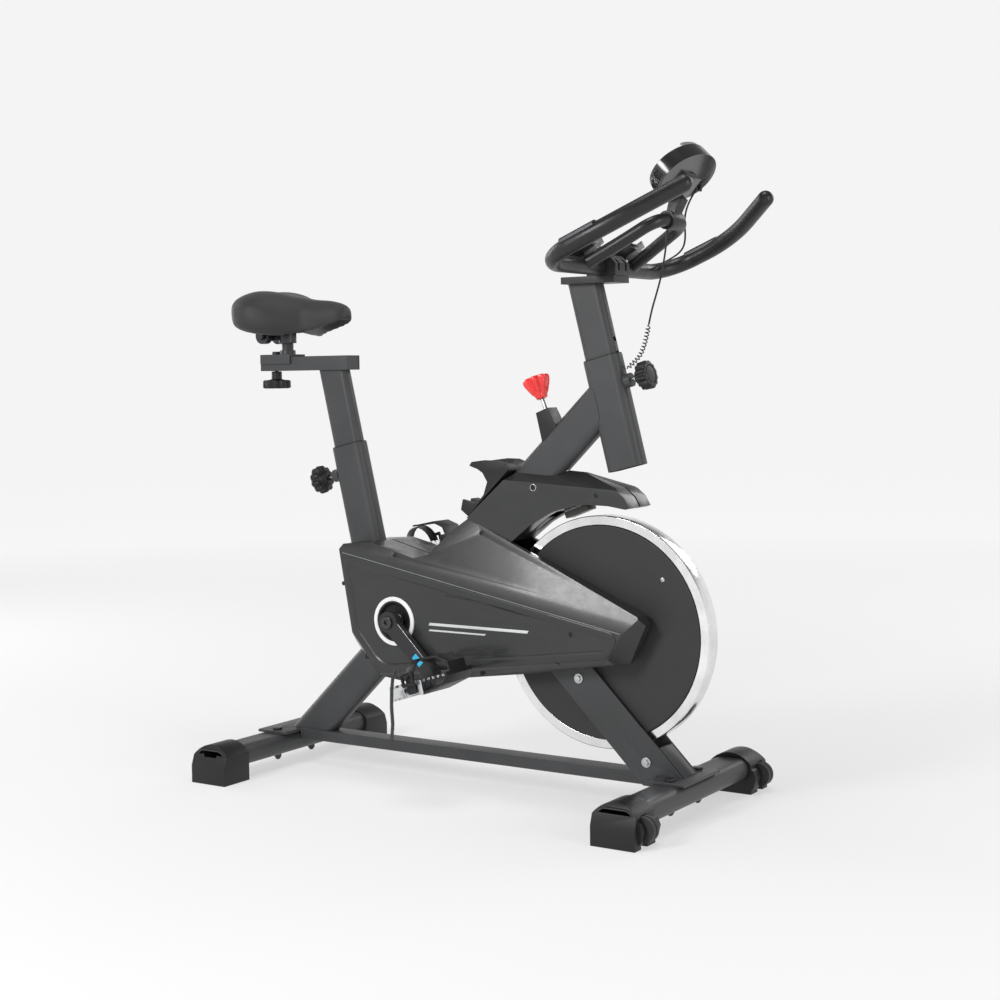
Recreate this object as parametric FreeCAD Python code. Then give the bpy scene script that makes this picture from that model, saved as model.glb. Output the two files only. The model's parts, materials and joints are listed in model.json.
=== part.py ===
import FreeCAD, Part
import math
import os

# Upright exercise bike. Millimetres. X runs forward, Y to the rider's left, Z up.
# The origin is on the floor, midway along and across the whole bike.

V = FreeCAD.Vector

# ---- overall ---------------------------------------------------------------
HALF_LENGTH = 510.0
HALF_WIDTH = 245.0

# ---- drawn tube stock: flat-oval sections ----------------------------------
TUBE_DEEP = 70.0
TUBE_WIDE = 35.0
TUBE_CORNER = 14.0
TUBE_WALL = 2.0
POST_DEEP = 62.0
POST_WIDE = 27.0
POST_CORNER = 11.0
BUSHING_GAP = 0.4
BUSHING_LENGTH = 90.0

# ---- stations ----------------------------------------------------------------
CRANK_AXIS = (-134.0, 299.0)
WHEEL_AXIS = (266.7, 299.0)
REAR_X = -437.0
FRONT_X = 409.2
MAIN_TOP = (265.7, 695.2)
MAIN_LOW = (-404.5, 45.4)
SEAT_TILT = math.radians(13.0)
SEAT_TOP = (-288.0, 612.0)
BAR_TILT = math.radians(14.0)
BAR_TOP = (262.0, 766.0)
BAR_SLEEVE_LENGTH = 192.0

# ---- posts: length shown, length inside the sleeve, height adjustment -------------
SEAT_SHOWN = 143.0
SEAT_INSIDE = 195.0
BAR_SHOWN = 129.0
BAR_INSIDE = 112.0
HOLE_PITCH = 25.0
SEAT_HOLES_DOWN = 4
SEAT_HOLES_UP = 3
BAR_HOLES_DOWN = 3
BAR_HOLES_UP = 1
PIN_DROP = 49.0
PIN_RADIUS = 4.0
PIN_HOLE_RADIUS = 4.5

# ---- stabilizers and base ------------------------------------------------------
STAB_DEEP = 68.0
STAB_HIGH = 38.0
STAB_LOW = 24.0
STAB_CORNER = 17.0
SADDLE_THICK = 5.0
SADDLE_TOP = STAB_LOW + STAB_HIGH + SADDLE_THICK
BASE_WIDE = 40.0
BASE_LOW = 47.0
BASE_HIGH = 67.0
FOOT_LONG = 68.0
FOOT_HALF = 40.0
FOOT_HIGH = 71.0
FOOT_SHOULDER = 51.0
FOOT_WALL = 2.5

# ---- transport wheels ------------------------------------------------------------
ROLLER_RADIUS = 21.0
ROLLER_WIDE = 18.0
ROLLER_Y = 214.0
ROLLER_Z = 30.0
ROLLER_X = FRONT_X + 41.0
ROLLER_PIN_RADIUS = 4.0
RUNNING = 0.05

# ---- flywheel and fork -------------------------------------------------------------
RIM_RADIUS = 200.0
RIM_INNER = 183.0
RIM_HALF = 16.0
SIDE_PLATE = 1.6
SHAFT_RADIUS = 8.5
FORK_OUTER = 27.0
FORK_THICK = 5.0
FORK_FRONT = 488.0
FORK_REAR = 393.0
BRACKET_THICK = 6.0

# ---- drive ---------------------------------------------------------------------------
PULLEY_RADIUS = 84.0
SMALL_RADIUS = 22.0
BELT_Y = -53.0
BELT_WIDE = 14.0
BELT_THICK = 3.0
BELT_GAP = 0.3
CRANK_LENGTH = 145.0
CRANK_ANGLE = math.radians(-43.7)
CRANK_INNER = 82.0
CRANK_THICK = 14.0
SHELL_RADIUS = 21.0
SHELL_HALF = 34.0

# ---- pedals ------------------------------------------------------------------------------
PEDAL_PITCH = 16.0
PEDAL_IN = 108.0
PEDAL_OUT = 184.0
PEDAL_SPINDLE_RADIUS = 5.0
PEDAL_HALF = 32.0
STRAP_RISE = 38.0

# ---- covers --------------------------------------------------------------------------------
COVER_FACE = 75.0
COVER_WALL = 3.0
COVER_CLEAR = 34.0
BRAKE_HALF = 38.0

# ---- handlebar -------------------------------------------------------------------------------
BAR_RADIUS = 14.0
LOOP_RADIUS = 11.0
BAR_WALL = 1.8
BAR_X = 270.0
BAR_Z = 919.0
PLATE_LOW = 893.0

PARTS = "parts"


# ---------------------------------------------------------------------------------------------
# helpers
# ---------------------------------------------------------------------------------------------
def save(name, *solids):
    """Write one node: a single solid, or a group of separate ones."""
    flat = []
    for shape in solids:
        flat.extend(shape.Solids)
    out = flat[0] if len(flat) == 1 else Part.makeCompound(flat)
    out.exportStep(os.path.join(PARTS, name + ".step"))


def box(x0, x1, y0, y1, z0, z1):
    return Part.makeBox(x1 - x0, y1 - y0, z1 - z0, V(x0, y0, z0))


def rod(radius, start, end):
    a = V(*start)
    d = V(*end) - a
    return Part.makeCylinder(radius, d.Length, a, d)


def ring(outer, inner, start, end):
    return rod(outer, start, end).cut(rod(inner, start, end))


def rod_y(radius, point, y0, y1):
    """A round bar along Y through a point of the side view."""
    return rod(radius, (point[0], y0, point[1]), (point[0], y1, point[1]))


def ring_y(outer, inner, point, y0, y1):
    return rod_y(outer, point, y0, y1).cut(rod_y(inner, point, y0, y1))


def prism(points, y0, y1):
    """Side-view outline (x, z), carried from y0 to y1."""
    wire = Part.makePolygon([V(x, y0, z) for x, z in points] + [V(points[0][0], y0, points[0][1])])
    return Part.Face(wire).extrude(V(0, y1 - y0, 0))


def mirror_y(shape):
    return shape.mirror(V(0, 0, 0), V(0, 1, 0))


def oval_face(deep, wide, corner):
    """Rounded rectangle in the XY plane, centred: deep along X, wide along Y."""
    hx = deep / 2.0
    hy = wide / 2.0
    r = corner
    k = r * (1.0 - math.sqrt(0.5))
    edges = []
    corners = [(1, 1), (-1, 1), (-1, -1), (1, -1)]
    for i, (sx, sy) in enumerate(corners):
        along_x = V(sx * (hx - r), sy * hy, 0)
        along_y = V(sx * hx, sy * (hy - r), 0)
        middle = V(sx * (hx - k), sy * (hy - k), 0)
        first, last = (along_y, along_x) if i % 2 == 0 else (along_x, along_y)
        edges.append(Part.Arc(first, middle, last).toShape())
        nx, ny = corners[(i + 1) % 4]
        after = V(nx * (hx - r), ny * hy, 0) if i % 2 == 0 else V(nx * hx, ny * (hy - r), 0)
        if (after - last).Length > 1e-6:
            edges.append(Part.LineSegment(last, after).toShape())
    return Part.Face(Part.Wire(Part.__sortEdges__(edges)))


def oval_bar(start, end, deep, wide, corner):
    """A solid flat-oval bar between two points of the side view, deep side in that view."""
    a = V(start[0], 0, start[1])
    d = V(end[0], 0, end[1]) - a
    turn = FreeCAD.Rotation(V(0, 1, 0), math.degrees(math.atan2(d.x, d.z)))
    bar = oval_face(deep, wide, corner).extrude(V(0, 0, d.Length))
    bar.Placement = FreeCAD.Placement(a, turn)
    return bar


def step(point, tilt, distance, across=0.0):
    """Move along a post leaning back by tilt; across is the way its front side faces."""
    x = point[0] - math.sin(tilt) * distance + math.cos(tilt) * across
    z = point[1] + math.cos(tilt) * distance + math.sin(tilt) * across
    return (x, z)


def across_rod(radius, point, tilt, drop, a, b):
    """A round bar square to a post, drop below its top, from distance a to b in front of the axis."""
    p = step(point, tilt, -drop, a)
    q = step(point, tilt, -drop, b)
    return rod(radius, (p[0], 0, p[1]), (q[0], 0, q[1]))


def placement(origin, ax, ay, az):
    """Placement that maps local X, Y and Z onto three given directions, a right-handed set."""
    m = FreeCAD.Matrix()
    m.A11, m.A12, m.A13, m.A14 = ax.x, ay.x, az.x, origin.x
    m.A21, m.A22, m.A23, m.A24 = ax.y, ay.y, az.y, origin.y
    m.A31, m.A32, m.A33, m.A34 = ax.z, ay.z, az.z, origin.z
    return FreeCAD.Placement(m)


def route_wire(points):
    """Straight runs joined by arcs, each as large as its two runs allow; prints its radii."""
    pts = [V(*p) for p in points]
    edges = []
    radii = []
    here = pts[0]
    for i in range(1, len(pts) - 1):
        back = pts[i - 1] - pts[i]
        ahead = pts[i + 1] - pts[i]
        shorter = min(back.Length, ahead.Length)
        turn = math.pi - back.getAngle(ahead)
        trim = 0.45 * shorter
        radius = trim / math.tan(turn / 2.0)
        radii.append(radius)
        back.normalize()
        ahead.normalize()
        a = pts[i] + back * trim
        b = pts[i] + ahead * trim
        inward = back + ahead
        inward.normalize()
        centre = pts[i] + inward * (radius / math.cos(turn / 2.0))
        middle = centre - inward * radius
        edges.append(Part.LineSegment(here, a).toShape())
        edges.append(Part.Arc(a, middle, b).toShape())
        here = b
    edges.append(Part.LineSegment(here, pts[-1]).toShape())
    return Part.Wire(edges), radii


def pipe(points, radius, label=None):
    """A round solid along a route."""
    wire, radii = route_wire(points)
    start = V(*points[0])
    d = V(*points[1]) - start
    profile = Part.Wire(Part.makeCircle(radius, start, d))
    shell = wire.makePipeShell([profile], True, True)
    solid = shell if shell.ShapeType == "Solid" else Part.Solid(shell)
    if solid.Volume < 0:
        solid.reverse()
    if label:
        section = math.pi * radius * radius * wire.Length
        text = ", ".join("%.0f" % r for r in radii)
        print("%s: length %.0f, radii %s, volume ratio %.4f" % (label, wire.Length, text, solid.Volume / section))
    return solid


# ---------------------------------------------------------------------------------------------
# frame
# ---------------------------------------------------------------------------------------------
def seat_sleeve_prism(extra=0.0):
    bottom = step(SEAT_TOP, SEAT_TILT, -381.0)
    return oval_bar(bottom, SEAT_TOP, TUBE_DEEP + extra, TUBE_WIDE + extra, TUBE_CORNER + extra / 2)


def bar_sleeve_prism(extra=0.0):
    bottom = step(BAR_TOP, BAR_TILT, -BAR_SLEEVE_LENGTH)
    return oval_bar(bottom, BAR_TOP, TUBE_DEEP + extra, TUBE_WIDE + extra, TUBE_CORNER + extra / 2)


def main_tube_prism(extra=0.0):
    return oval_bar(MAIN_LOW, main_tube_end(), TUBE_DEEP + extra, TUBE_WIDE + extra, TUBE_CORNER + extra / 2)


def main_tube_end():
    """The tube's own line, carried into the handlebar sleeve, which then copes it."""
    dx = MAIN_TOP[0] - MAIN_LOW[0]
    dz = MAIN_TOP[1] - MAIN_LOW[1]
    run = 24.0 / math.hypot(dx, dz)
    return (MAIN_TOP[0] + dx * run, MAIN_TOP[1] + dz * run)


def main_tube():
    tube = main_tube_prism()
    bore = oval_bar(MAIN_LOW, main_tube_end(), TUBE_DEEP - 2 * TUBE_WALL, TUBE_WIDE - 2 * TUBE_WALL,
                    TUBE_CORNER - TUBE_WALL)
    tube = tube.cut(bore)
    tube = tube.cut(bar_sleeve_prism())
    tube = tube.cut(box(-600, -300, -60, 60, -50, SADDLE_TOP))
    tube = tube.cut(rod_y(SHELL_RADIUS, CRANK_AXIS, -60, 60))
    tube = tube.cut(brake_bar(ROD_RADIUS + 0.5, 0, 200))
    return max(tube.Solids, key=lambda s: s.Volume)


def seat_sleeve():
    bottom = step(SEAT_TOP, SEAT_TILT, -381.0)
    tube = seat_sleeve_prism()
    bore = oval_bar(bottom, step(SEAT_TOP, SEAT_TILT, 1.0), TUBE_DEEP - 2 * TUBE_WALL,
                    TUBE_WIDE - 2 * TUBE_WALL, TUBE_CORNER - TUBE_WALL)
    tube = tube.cut(bore).cut(main_tube_prism())
    tube = max(tube.Solids, key=lambda s: s.Volume)
    boss = across_rod(12.0, SEAT_TOP, SEAT_TILT, PIN_DROP, -TUBE_DEEP / 2 + 1.0, -TUBE_DEEP / 2 - 13.0)
    hole = across_rod(PIN_RADIUS + RUNNING, SEAT_TOP, SEAT_TILT, PIN_DROP, -20, -60)
    return tube.fuse(boss).cut(hole)


def bar_sleeve():
    bottom = step(BAR_TOP, BAR_TILT, -BAR_SLEEVE_LENGTH)
    tube = bar_sleeve_prism()
    bore = oval_bar(step(bottom, BAR_TILT, -1.0), step(BAR_TOP, BAR_TILT, 1.0), TUBE_DEEP - 2 * TUBE_WALL,
                    TUBE_WIDE - 2 * TUBE_WALL, TUBE_CORNER - TUBE_WALL)
    boss = across_rod(12.0, BAR_TOP, BAR_TILT, PIN_DROP, TUBE_DEEP / 2 - 1.0, TUBE_DEEP / 2 + 11.0)
    hole = across_rod(PIN_RADIUS + RUNNING, BAR_TOP, BAR_TILT, PIN_DROP, 20, 60)
    return tube.cut(bore).fuse(boss).cut(hole)


def bushing(top, tilt, front):
    """Plastic liner in a sleeve's mouth, with a flange on the rim and a hole for the pin."""
    low = step(top, tilt, -BUSHING_LENGTH)
    body = oval_bar(low, top, TUBE_DEEP - 2 * TUBE_WALL, TUBE_WIDE - 2 * TUBE_WALL, TUBE_CORNER - TUBE_WALL)
    flange = oval_bar(top, step(top, tilt, 2.0), TUBE_DEEP - 1.0, TUBE_WIDE - 1.0, TUBE_CORNER - 0.5)
    bore = oval_bar(step(low, tilt, -1.0), step(top, tilt, 3.0), POST_DEEP + 2 * BUSHING_GAP,
                    POST_WIDE + 2 * BUSHING_GAP, POST_CORNER + BUSHING_GAP)
    hole = across_rod(PIN_HOLE_RADIUS, top, tilt, PIN_DROP, 15 * front, 50 * front)
    return body.fuse(flange).cut(bore).cut(hole)


def fork_plate(side):
    """One side of the fork: a flat bar at 45 degrees from the main tube to the front stabilizer."""
    upper = 425.0
    foot_x = 371.0
    points = [
        (FORK_REAR - upper, upper),
        (FORK_REAR - BASE_LOW, BASE_LOW),
        (foot_x, BASE_LOW),
        (foot_x, SADDLE_TOP),
        (FORK_FRONT - SADDLE_TOP, SADDLE_TOP),
        (FORK_FRONT - upper - 44.0, upper + 44.0),
    ]
    plate = prism(points, FORK_OUTER - FORK_THICK, FORK_OUTER)
    for x, z in ((223.0, 218.0), (353.0, 87.0)):
        plate = plate.cut(rod_y(4.1, (x, z), 0, 60))
    return plate if side > 0 else mirror_y(plate)


def fork_web():
    """Front and rear closing webs between the fork plates, below the flywheel."""
    half = FORK_OUTER - FORK_THICK
    top = 112.0
    front = prism([(FORK_FRONT - SADDLE_TOP, SADDLE_TOP), (FORK_FRONT - top, top),
                   (FORK_FRONT - top - 6.0, top), (FORK_FRONT - SADDLE_TOP - 6.0, SADDLE_TOP)], -half, half)
    low = 84.0
    rear = prism([(FORK_REAR - BASE_HIGH, BASE_HIGH), (FORK_REAR - low, low),
                  (FORK_REAR - low + 6.0, low), (FORK_REAR - BASE_HIGH + 6.0, BASE_HIGH)], -half, half)
    return front, rear


def fork_spacer(side):
    """Welded pad that fills the gap between a fork plate and the side of the main tube."""
    dx = MAIN_TOP[0] - MAIN_LOW[0]
    dz = MAIN_TOP[1] - MAIN_LOW[1]
    length = math.hypot(dx, dz)
    ux, uz = dx / length, dz / length
    centre = (0.0, MAIN_LOW[1] - MAIN_LOW[0] * dz / dx)
    corners = [(-22, -20), (22, -20), (22, 8), (-22, 8)]
    points = [(centre[0] + ux * t - uz * n, centre[1] + uz * t + ux * n) for t, n in corners]
    pad = prism(points, TUBE_WIDE / 2, FORK_OUTER - FORK_THICK)
    return pad if side > 0 else mirror_y(pad)


def axle_bracket(side):
    """Plate that carries one flywheel bearing, bolted outside its fork plate."""
    x, z = WHEEL_AXIS
    inner = FORK_OUTER
    points = [(x - 90, z - 22), (x - 58, z - 64), (x - 30, z - 64), (x + 26, z - 20), (x + 26, z + 22),
              (x - 12, z + 30), (x - 84, z + 24)]
    plate = prism(points, inner, inner + BRACKET_THICK)
    plate = plate.cut(rod_y(20.0, WHEEL_AXIS, 0, 60))
    return plate if side > 0 else mirror_y(plate)


def flywheel_bearing(side):
    y0 = FORK_OUTER - 1.0
    bearing = ring_y(20.0, SHAFT_RADIUS + RUNNING, WHEEL_AXIS, y0, FORK_OUTER + BRACKET_THICK + 1.0)
    return bearing if side > 0 else mirror_y(bearing)


def base_tube():
    low = BASE_LOW
    x0 = REAR_X + STAB_DEEP / 2 + 4.0
    x1 = FRONT_X - STAB_DEEP / 2 - 4.0
    half = BASE_WIDE / 2
    outer = box(x0, x1, -half, half, low, BASE_HIGH)
    inner = box(x0, x1, -half + 1.5, half - 1.5, low + 1.5, BASE_HIGH - 1.5)
    return outer.cut(inner)


def saddle_plate(x, inward):
    """Angle plate over a stabilizer: the frame is welded to it and it is bolted down."""
    half = STAB_DEEP / 2
    top = box(x - half, x + half, -66, 66, SADDLE_TOP - SADDLE_THICK, SADDLE_TOP)
    edge = x + inward * half
    lip = box(min(edge, edge + 4 * inward), max(edge, edge + 4 * inward), -22, 22, BASE_LOW, SADDLE_TOP)
    plate = top.fuse(lip).removeSplitter()
    for y in (-50, 50):
        plate = plate.cut(rod(4.5, (x, y, 0), (x, y, 100)))
    return plate


def stabilizer(x):
    zc = STAB_LOW + STAB_HIGH / 2
    outer = oval_face(STAB_DEEP, STAB_HIGH, STAB_CORNER)
    inner = oval_face(STAB_DEEP - 4, STAB_HIGH - 4, STAB_CORNER - 2)
    end = HALF_WIDTH - 8.0
    turn = FreeCAD.Placement(V(x, -end, zc), FreeCAD.Rotation(V(1, 0, 0), -90))
    tube = outer.extrude(V(0, 0, 2 * end)).cut(inner.extrude(V(0, 0, 2 * end)))
    tube.Placement = turn
    for y in (-50, 50):
        tube = tube.cut(rod(4.5, (x, y, 0), (x, y, 100)))
    if x > 0:
        tube = tube.cut(roller_well()).cut(mirror_y(roller_well()))
        pin = rod_y(ROLLER_PIN_RADIUS, (ROLLER_X, ROLLER_Z), -HALF_WIDTH, HALF_WIDTH)
        tube = tube.cut(pin)
    return tube


def stabilizer_bolts():
    """Carriage bolts through saddle plate and stabilizer, with washers and dome nuts below."""
    out = []
    for x in (REAR_X, FRONT_X):
        for y in (-50, 50):
            shank = rod(4.0, (x, y, STAB_LOW - 9), (x, y, SADDLE_TOP + 0.1))
            head = rod(9.0, (x, y, SADDLE_TOP), (x, y, SADDLE_TOP + 4))
            washer = rod(9.0, (x, y, STAB_LOW - 2), (x, y, STAB_LOW))
            nut = rod(6.8, (x, y, STAB_LOW - 10), (x, y, STAB_LOW - 1.9))
            dome = Part.makeSphere(5.5, V(x, y, STAB_LOW - 10))
            out.append(shank.fuse([head, washer, nut, dome]))
    return out


def foot(x, side, front):
    """Moulded end cap: arched top, leaning upper face over an upright lower one, pocket for the tube."""
    y1 = HALF_WIDTH
    y0 = y1 - FOOT_LONG
    h = FOOT_HALF
    shoulder = FOOT_SHOULDER
    profile = [V(x - h, y0, 0), V(x - h, y0, shoulder)]
    arch = Part.Arc(V(x - h, y0, shoulder), V(x, y0, FOOT_HIGH), V(x + h, y0, shoulder)).toShape()
    wire = Part.Wire([
        Part.LineSegment(profile[0], profile[1]).toShape(),
        arch,
        Part.LineSegment(V(x + h, y0, shoulder), V(x + h, y0, 0)).toShape(),
        Part.LineSegment(V(x + h, y0, 0), profile[0]).toShape(),
    ])
    body = Part.Face(wire).extrude(V(0, FOOT_LONG, 0))
    lean = Part.makePolygon([V(x - 90, y1 + 1, 30), V(x - 90, y1 + 1, 90), V(x - 90, y1 - 12, 90),
                             V(x - 90, y1 - 12, 66), V(x - 90, y1, 32), V(x - 90, y1 + 1, 30)])
    body = body.cut(Part.Face(lean).extrude(V(180, 0, 0)))
    pocket = oval_face(STAB_DEEP + 0.6, STAB_HIGH + 0.6, STAB_CORNER + 0.3).extrude(V(0, 0, FOOT_LONG - 7.6))
    pocket.Placement = FreeCAD.Placement(V(x, y0 - 0.1, STAB_LOW + STAB_HIGH / 2),
                                         FreeCAD.Rotation(V(1, 0, 0), -90))
    body = body.cut(pocket)
    if front:
        lug = prism([(x + h - 3, 4), (x + h + 5, 12), (x + h + 10, ROLLER_Z), (x + h + 5, 42), (x + h - 3, 46)],
                    y0, y1 - 12)
        pin = rod(ROLLER_PIN_RADIUS, (ROLLER_X, y0 + 2, ROLLER_Z), (ROLLER_X, y1 - 13, ROLLER_Z))
        body = body.fuse(lug).cut(roller_well()).cut(pin)
    else:
        vent = box(x - 15, x + 15, y1 - 8, y1 + 2, 49, 58)
        body = body.cut(vent)
    return body if side > 0 else mirror_y(body)


def roller_well():
    """Space for the left transport wheel, through its foot and the tube end behind it."""
    room = 1.5
    y0 = ROLLER_Y - ROLLER_WIDE / 2 - 1
    y1 = ROLLER_Y + ROLLER_WIDE / 2 + 1
    rear = ROLLER_X - ROLLER_RADIUS - room
    return box(rear, ROLLER_X + 40, y0, y1, -1, ROLLER_Z + ROLLER_RADIUS + room)


def roller_pin(side):
    y0 = HALF_WIDTH - FOOT_LONG + 2
    pin = rod(ROLLER_PIN_RADIUS, (ROLLER_X, y0, ROLLER_Z), (ROLLER_X, HALF_WIDTH - 13, ROLLER_Z))
    return pin if side > 0 else mirror_y(pin)


def roller(side):
    """Transport wheel with a shallow tread groove."""
    y0 = ROLLER_Y - ROLLER_WIDE / 2
    y1 = ROLLER_Y + ROLLER_WIDE / 2
    c = (ROLLER_X, ROLLER_Z)
    wheel = ring_y(ROLLER_RADIUS, ROLLER_PIN_RADIUS + RUNNING, c, y0, y1)
    groove = ring_y(ROLLER_RADIUS + 1, ROLLER_RADIUS - 1.2, c, ROLLER_Y - 2, ROLLER_Y + 2)
    wheel = wheel.cut(groove)
    return wheel if side > 0 else mirror_y(wheel)


def fork_bolts():
    out = []
    for x, z in ((223.0, 218.0), (353.0, 87.0)):
        for side in (-1, 1):
            outer = side * (FORK_OUTER + 2)
            inner = side * (FORK_OUTER - FORK_THICK)
            washer = rod_y(8.5, (x, z), side * FORK_OUTER, outer)
            head = rod_y(5.5, (x, z), outer, side * (FORK_OUTER + 6))
            shank = rod_y(4.0, (x, z), inner, outer)
            out.append(washer.fuse([head, shank]))
    return out


# ---------------------------------------------------------------------------------------------
# drive
# ---------------------------------------------------------------------------------------------
def bottom_bracket_shell():
    return ring_y(SHELL_RADIUS, 17.0, CRANK_AXIS, -SHELL_HALF, SHELL_HALF)


def crank_bearing(side):
    y0 = SHELL_HALF - 12.0
    bearing = ring_y(17.0, SHAFT_RADIUS + RUNNING, CRANK_AXIS, y0, SHELL_HALF)
    return bearing if side > 0 else mirror_y(bearing)


def crank_spindle():
    return rod_y(SHAFT_RADIUS, CRANK_AXIS, -CRANK_INNER, CRANK_INNER)


def grooved_pulley(centre, radius, bore):
    """Flat pulley with flanges each side of the belt; spokes lighten a large one."""
    y0 = BELT_Y - BELT_WIDE / 2 - 2
    y1 = BELT_Y + BELT_WIDE / 2 + 2
    pulley = ring_y(radius, bore, centre, y0, y1)
    for a, b in ((y0, y0 + 1.5), (y1 - 1.5, y1)):
        pulley = pulley.fuse(ring_y(radius + 3, radius - 4, centre, a, b))
    if radius > 50:
        for i in range(6):
            angle = math.radians(60 * i)
            p = (centre[0] + 0.58 * radius * math.cos(angle), centre[1] + 0.58 * radius * math.sin(angle))
            pulley = pulley.cut(rod_y(0.2 * radius, p, y0 - 1, y1 + 1))
    return pulley


def drive_belt():
    """Open belt round both pulleys: two straight runs and two arcs."""
    c1 = CRANK_AXIS
    c2 = WHEEL_AXIS
    distance = math.hypot(c2[0] - c1[0], c2[1] - c1[1])

    def loop(extra, y0, y1):
        r1 = PULLEY_RADIUS + extra
        r2 = SMALL_RADIUS + extra
        lean = math.asin((r1 - r2) / distance)
        nx = math.sin(lean)
        nz = math.cos(lean)
        a = V(c1[0] + r1 * nx, y0, c1[1] + r1 * nz)
        b = V(c2[0] + r2 * nx, y0, c2[1] + r2 * nz)
        c = V(c2[0] + r2 * nx, y0, c2[1] - r2 * nz)
        d = V(c1[0] + r1 * nx, y0, c1[1] - r1 * nz)
        wire = Part.Wire([
            Part.LineSegment(a, b).toShape(),
            Part.Arc(b, V(c2[0] + r2, y0, c2[1]), c).toShape(),
            Part.LineSegment(c, d).toShape(),
            Part.Arc(d, V(c1[0] - r1, y0, c1[1]), a).toShape(),
        ])
        return Part.Face(wire).extrude(V(0, y1 - y0, 0))

    y0 = BELT_Y - BELT_WIDE / 2
    y1 = BELT_Y + BELT_WIDE / 2
    return loop(BELT_GAP + BELT_THICK, y0, y1).cut(loop(BELT_GAP, y0, y1))


def pedal_axis(side):
    """Where the pedal spindle is screwed in; the left crank points the other way."""
    sign = -side
    x = CRANK_AXIS[0] + sign * CRANK_LENGTH * math.cos(CRANK_ANGLE)
    z = CRANK_AXIS[1] + sign * CRANK_LENGTH * math.sin(CRANK_ANGLE)
    return (x, z)


def crank_arm(side):
    """Tapered arm with a boss at each end."""
    a = CRANK_AXIS
    b = pedal_axis(side)
    y0 = side * CRANK_INNER
    y1 = side * (CRANK_INNER + CRANK_THICK)
    dx = (b[0] - a[0]) / CRANK_LENGTH
    dz = (b[1] - a[1]) / CRANK_LENGTH
    wide = 15.0
    slim = 11.5
    blade = prism([(a[0] - dz * wide, a[1] + dx * wide), (b[0] - dz * slim, b[1] + dx * slim),
                   (b[0] + dz * slim, b[1] - dx * slim), (a[0] + dz * wide, a[1] - dx * wide)], y0, y1)
    arm = blade.fuse([rod_y(19.0, a, y0 - side * 2, y1), rod_y(13.0, b, y0, y1)])
    arm = arm.cut(rod_y(7.0, a, y0 - side * 5, y1 + side * 5)).cut(rod_y(SHAFT_RADIUS, a, y0 - side * 5, y0))
    return arm.cut(rod_y(PEDAL_SPINDLE_RADIUS + 1.5, b, y0 - side, y1 + side))


def crank_bolt(side):
    """Flanged bolt that holds the arm on the spindle, with a hexagon socket."""
    y1 = side * (CRANK_INNER + CRANK_THICK)
    shank = rod_y(7.0, CRANK_AXIS, side * CRANK_INNER, y1)
    head = rod_y(11.0, CRANK_AXIS, y1, y1 + side * 4)
    return shank.fuse(head).cut(rod_y(4.0, CRANK_AXIS, y1 + side * 1, y1 + side * 5))


def flywheel_rim():
    rim = ring_y(RIM_RADIUS, RIM_INNER, WHEEL_AXIS, -RIM_HALF, RIM_HALF)
    return rim


def flywheel_disc():
    """Cast web with a thick hub."""
    web = ring_y(RIM_INNER, 24.0, WHEEL_AXIS, -7, 7)
    hub = ring_y(30.0, SHAFT_RADIUS, WHEEL_AXIS, -RIM_HALF, RIM_HALF)
    return web.fuse(hub)


def flywheel_side_plate(side):
    y0 = side * RIM_HALF
    y1 = side * (RIM_HALF + SIDE_PLATE)
    plate = ring_y(RIM_INNER + 1.0, SHAFT_RADIUS + 4, WHEEL_AXIS, y0, y1)
    for i in range(3):
        plate = plate.cut(rod_y(2.5, screw_spot(i), y0 - side, y1 + side))
    return plate


def screw_spot(i):
    """Side-plate screws: three on a circle."""
    angle = math.radians(40 + 120 * i)
    return (WHEEL_AXIS[0] + 150 * math.cos(angle), WHEEL_AXIS[1] + 150 * math.sin(angle))


def flywheel_screws():
    out = []
    for side in (-1, 1):
        for i in range(3):
            spot = screw_spot(i)
            y1 = side * (RIM_HALF + SIDE_PLATE)
            out.append(rod_y(2.5, spot, side * 7.0, y1).fuse(rod_y(4.0, spot, y1, y1 + side * 1.2)))
    return out


def flywheel_shaft():
    return rod_y(SHAFT_RADIUS, WHEEL_AXIS, BELT_Y - BELT_WIDE / 2 - 6, FORK_OUTER + BRACKET_THICK + 4)


# ---------------------------------------------------------------------------------------------
# pedals
# ---------------------------------------------------------------------------------------------
def pitched(shape, side):
    """Turn a level pedal piece toe up about its spindle."""
    x, z = pedal_axis(side)
    shape.rotate(V(x, 0, z), V(0, 1, 0), -PEDAL_PITCH)
    return shape


def pedal_spindle(side):
    b = pedal_axis(side)
    shaft = rod_y(PEDAL_SPINDLE_RADIUS, b, side * CRANK_INNER, side * (PEDAL_OUT - 4))
    thread = rod_y(PEDAL_SPINDLE_RADIUS + 1.5, b, side * CRANK_INNER, side * (CRANK_INNER + CRANK_THICK))
    flange = rod_y(8.0, b, side * (CRANK_INNER + CRANK_THICK), side * (CRANK_INNER + CRANK_THICK + 4))
    return shaft.fuse([thread, flange])


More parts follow.
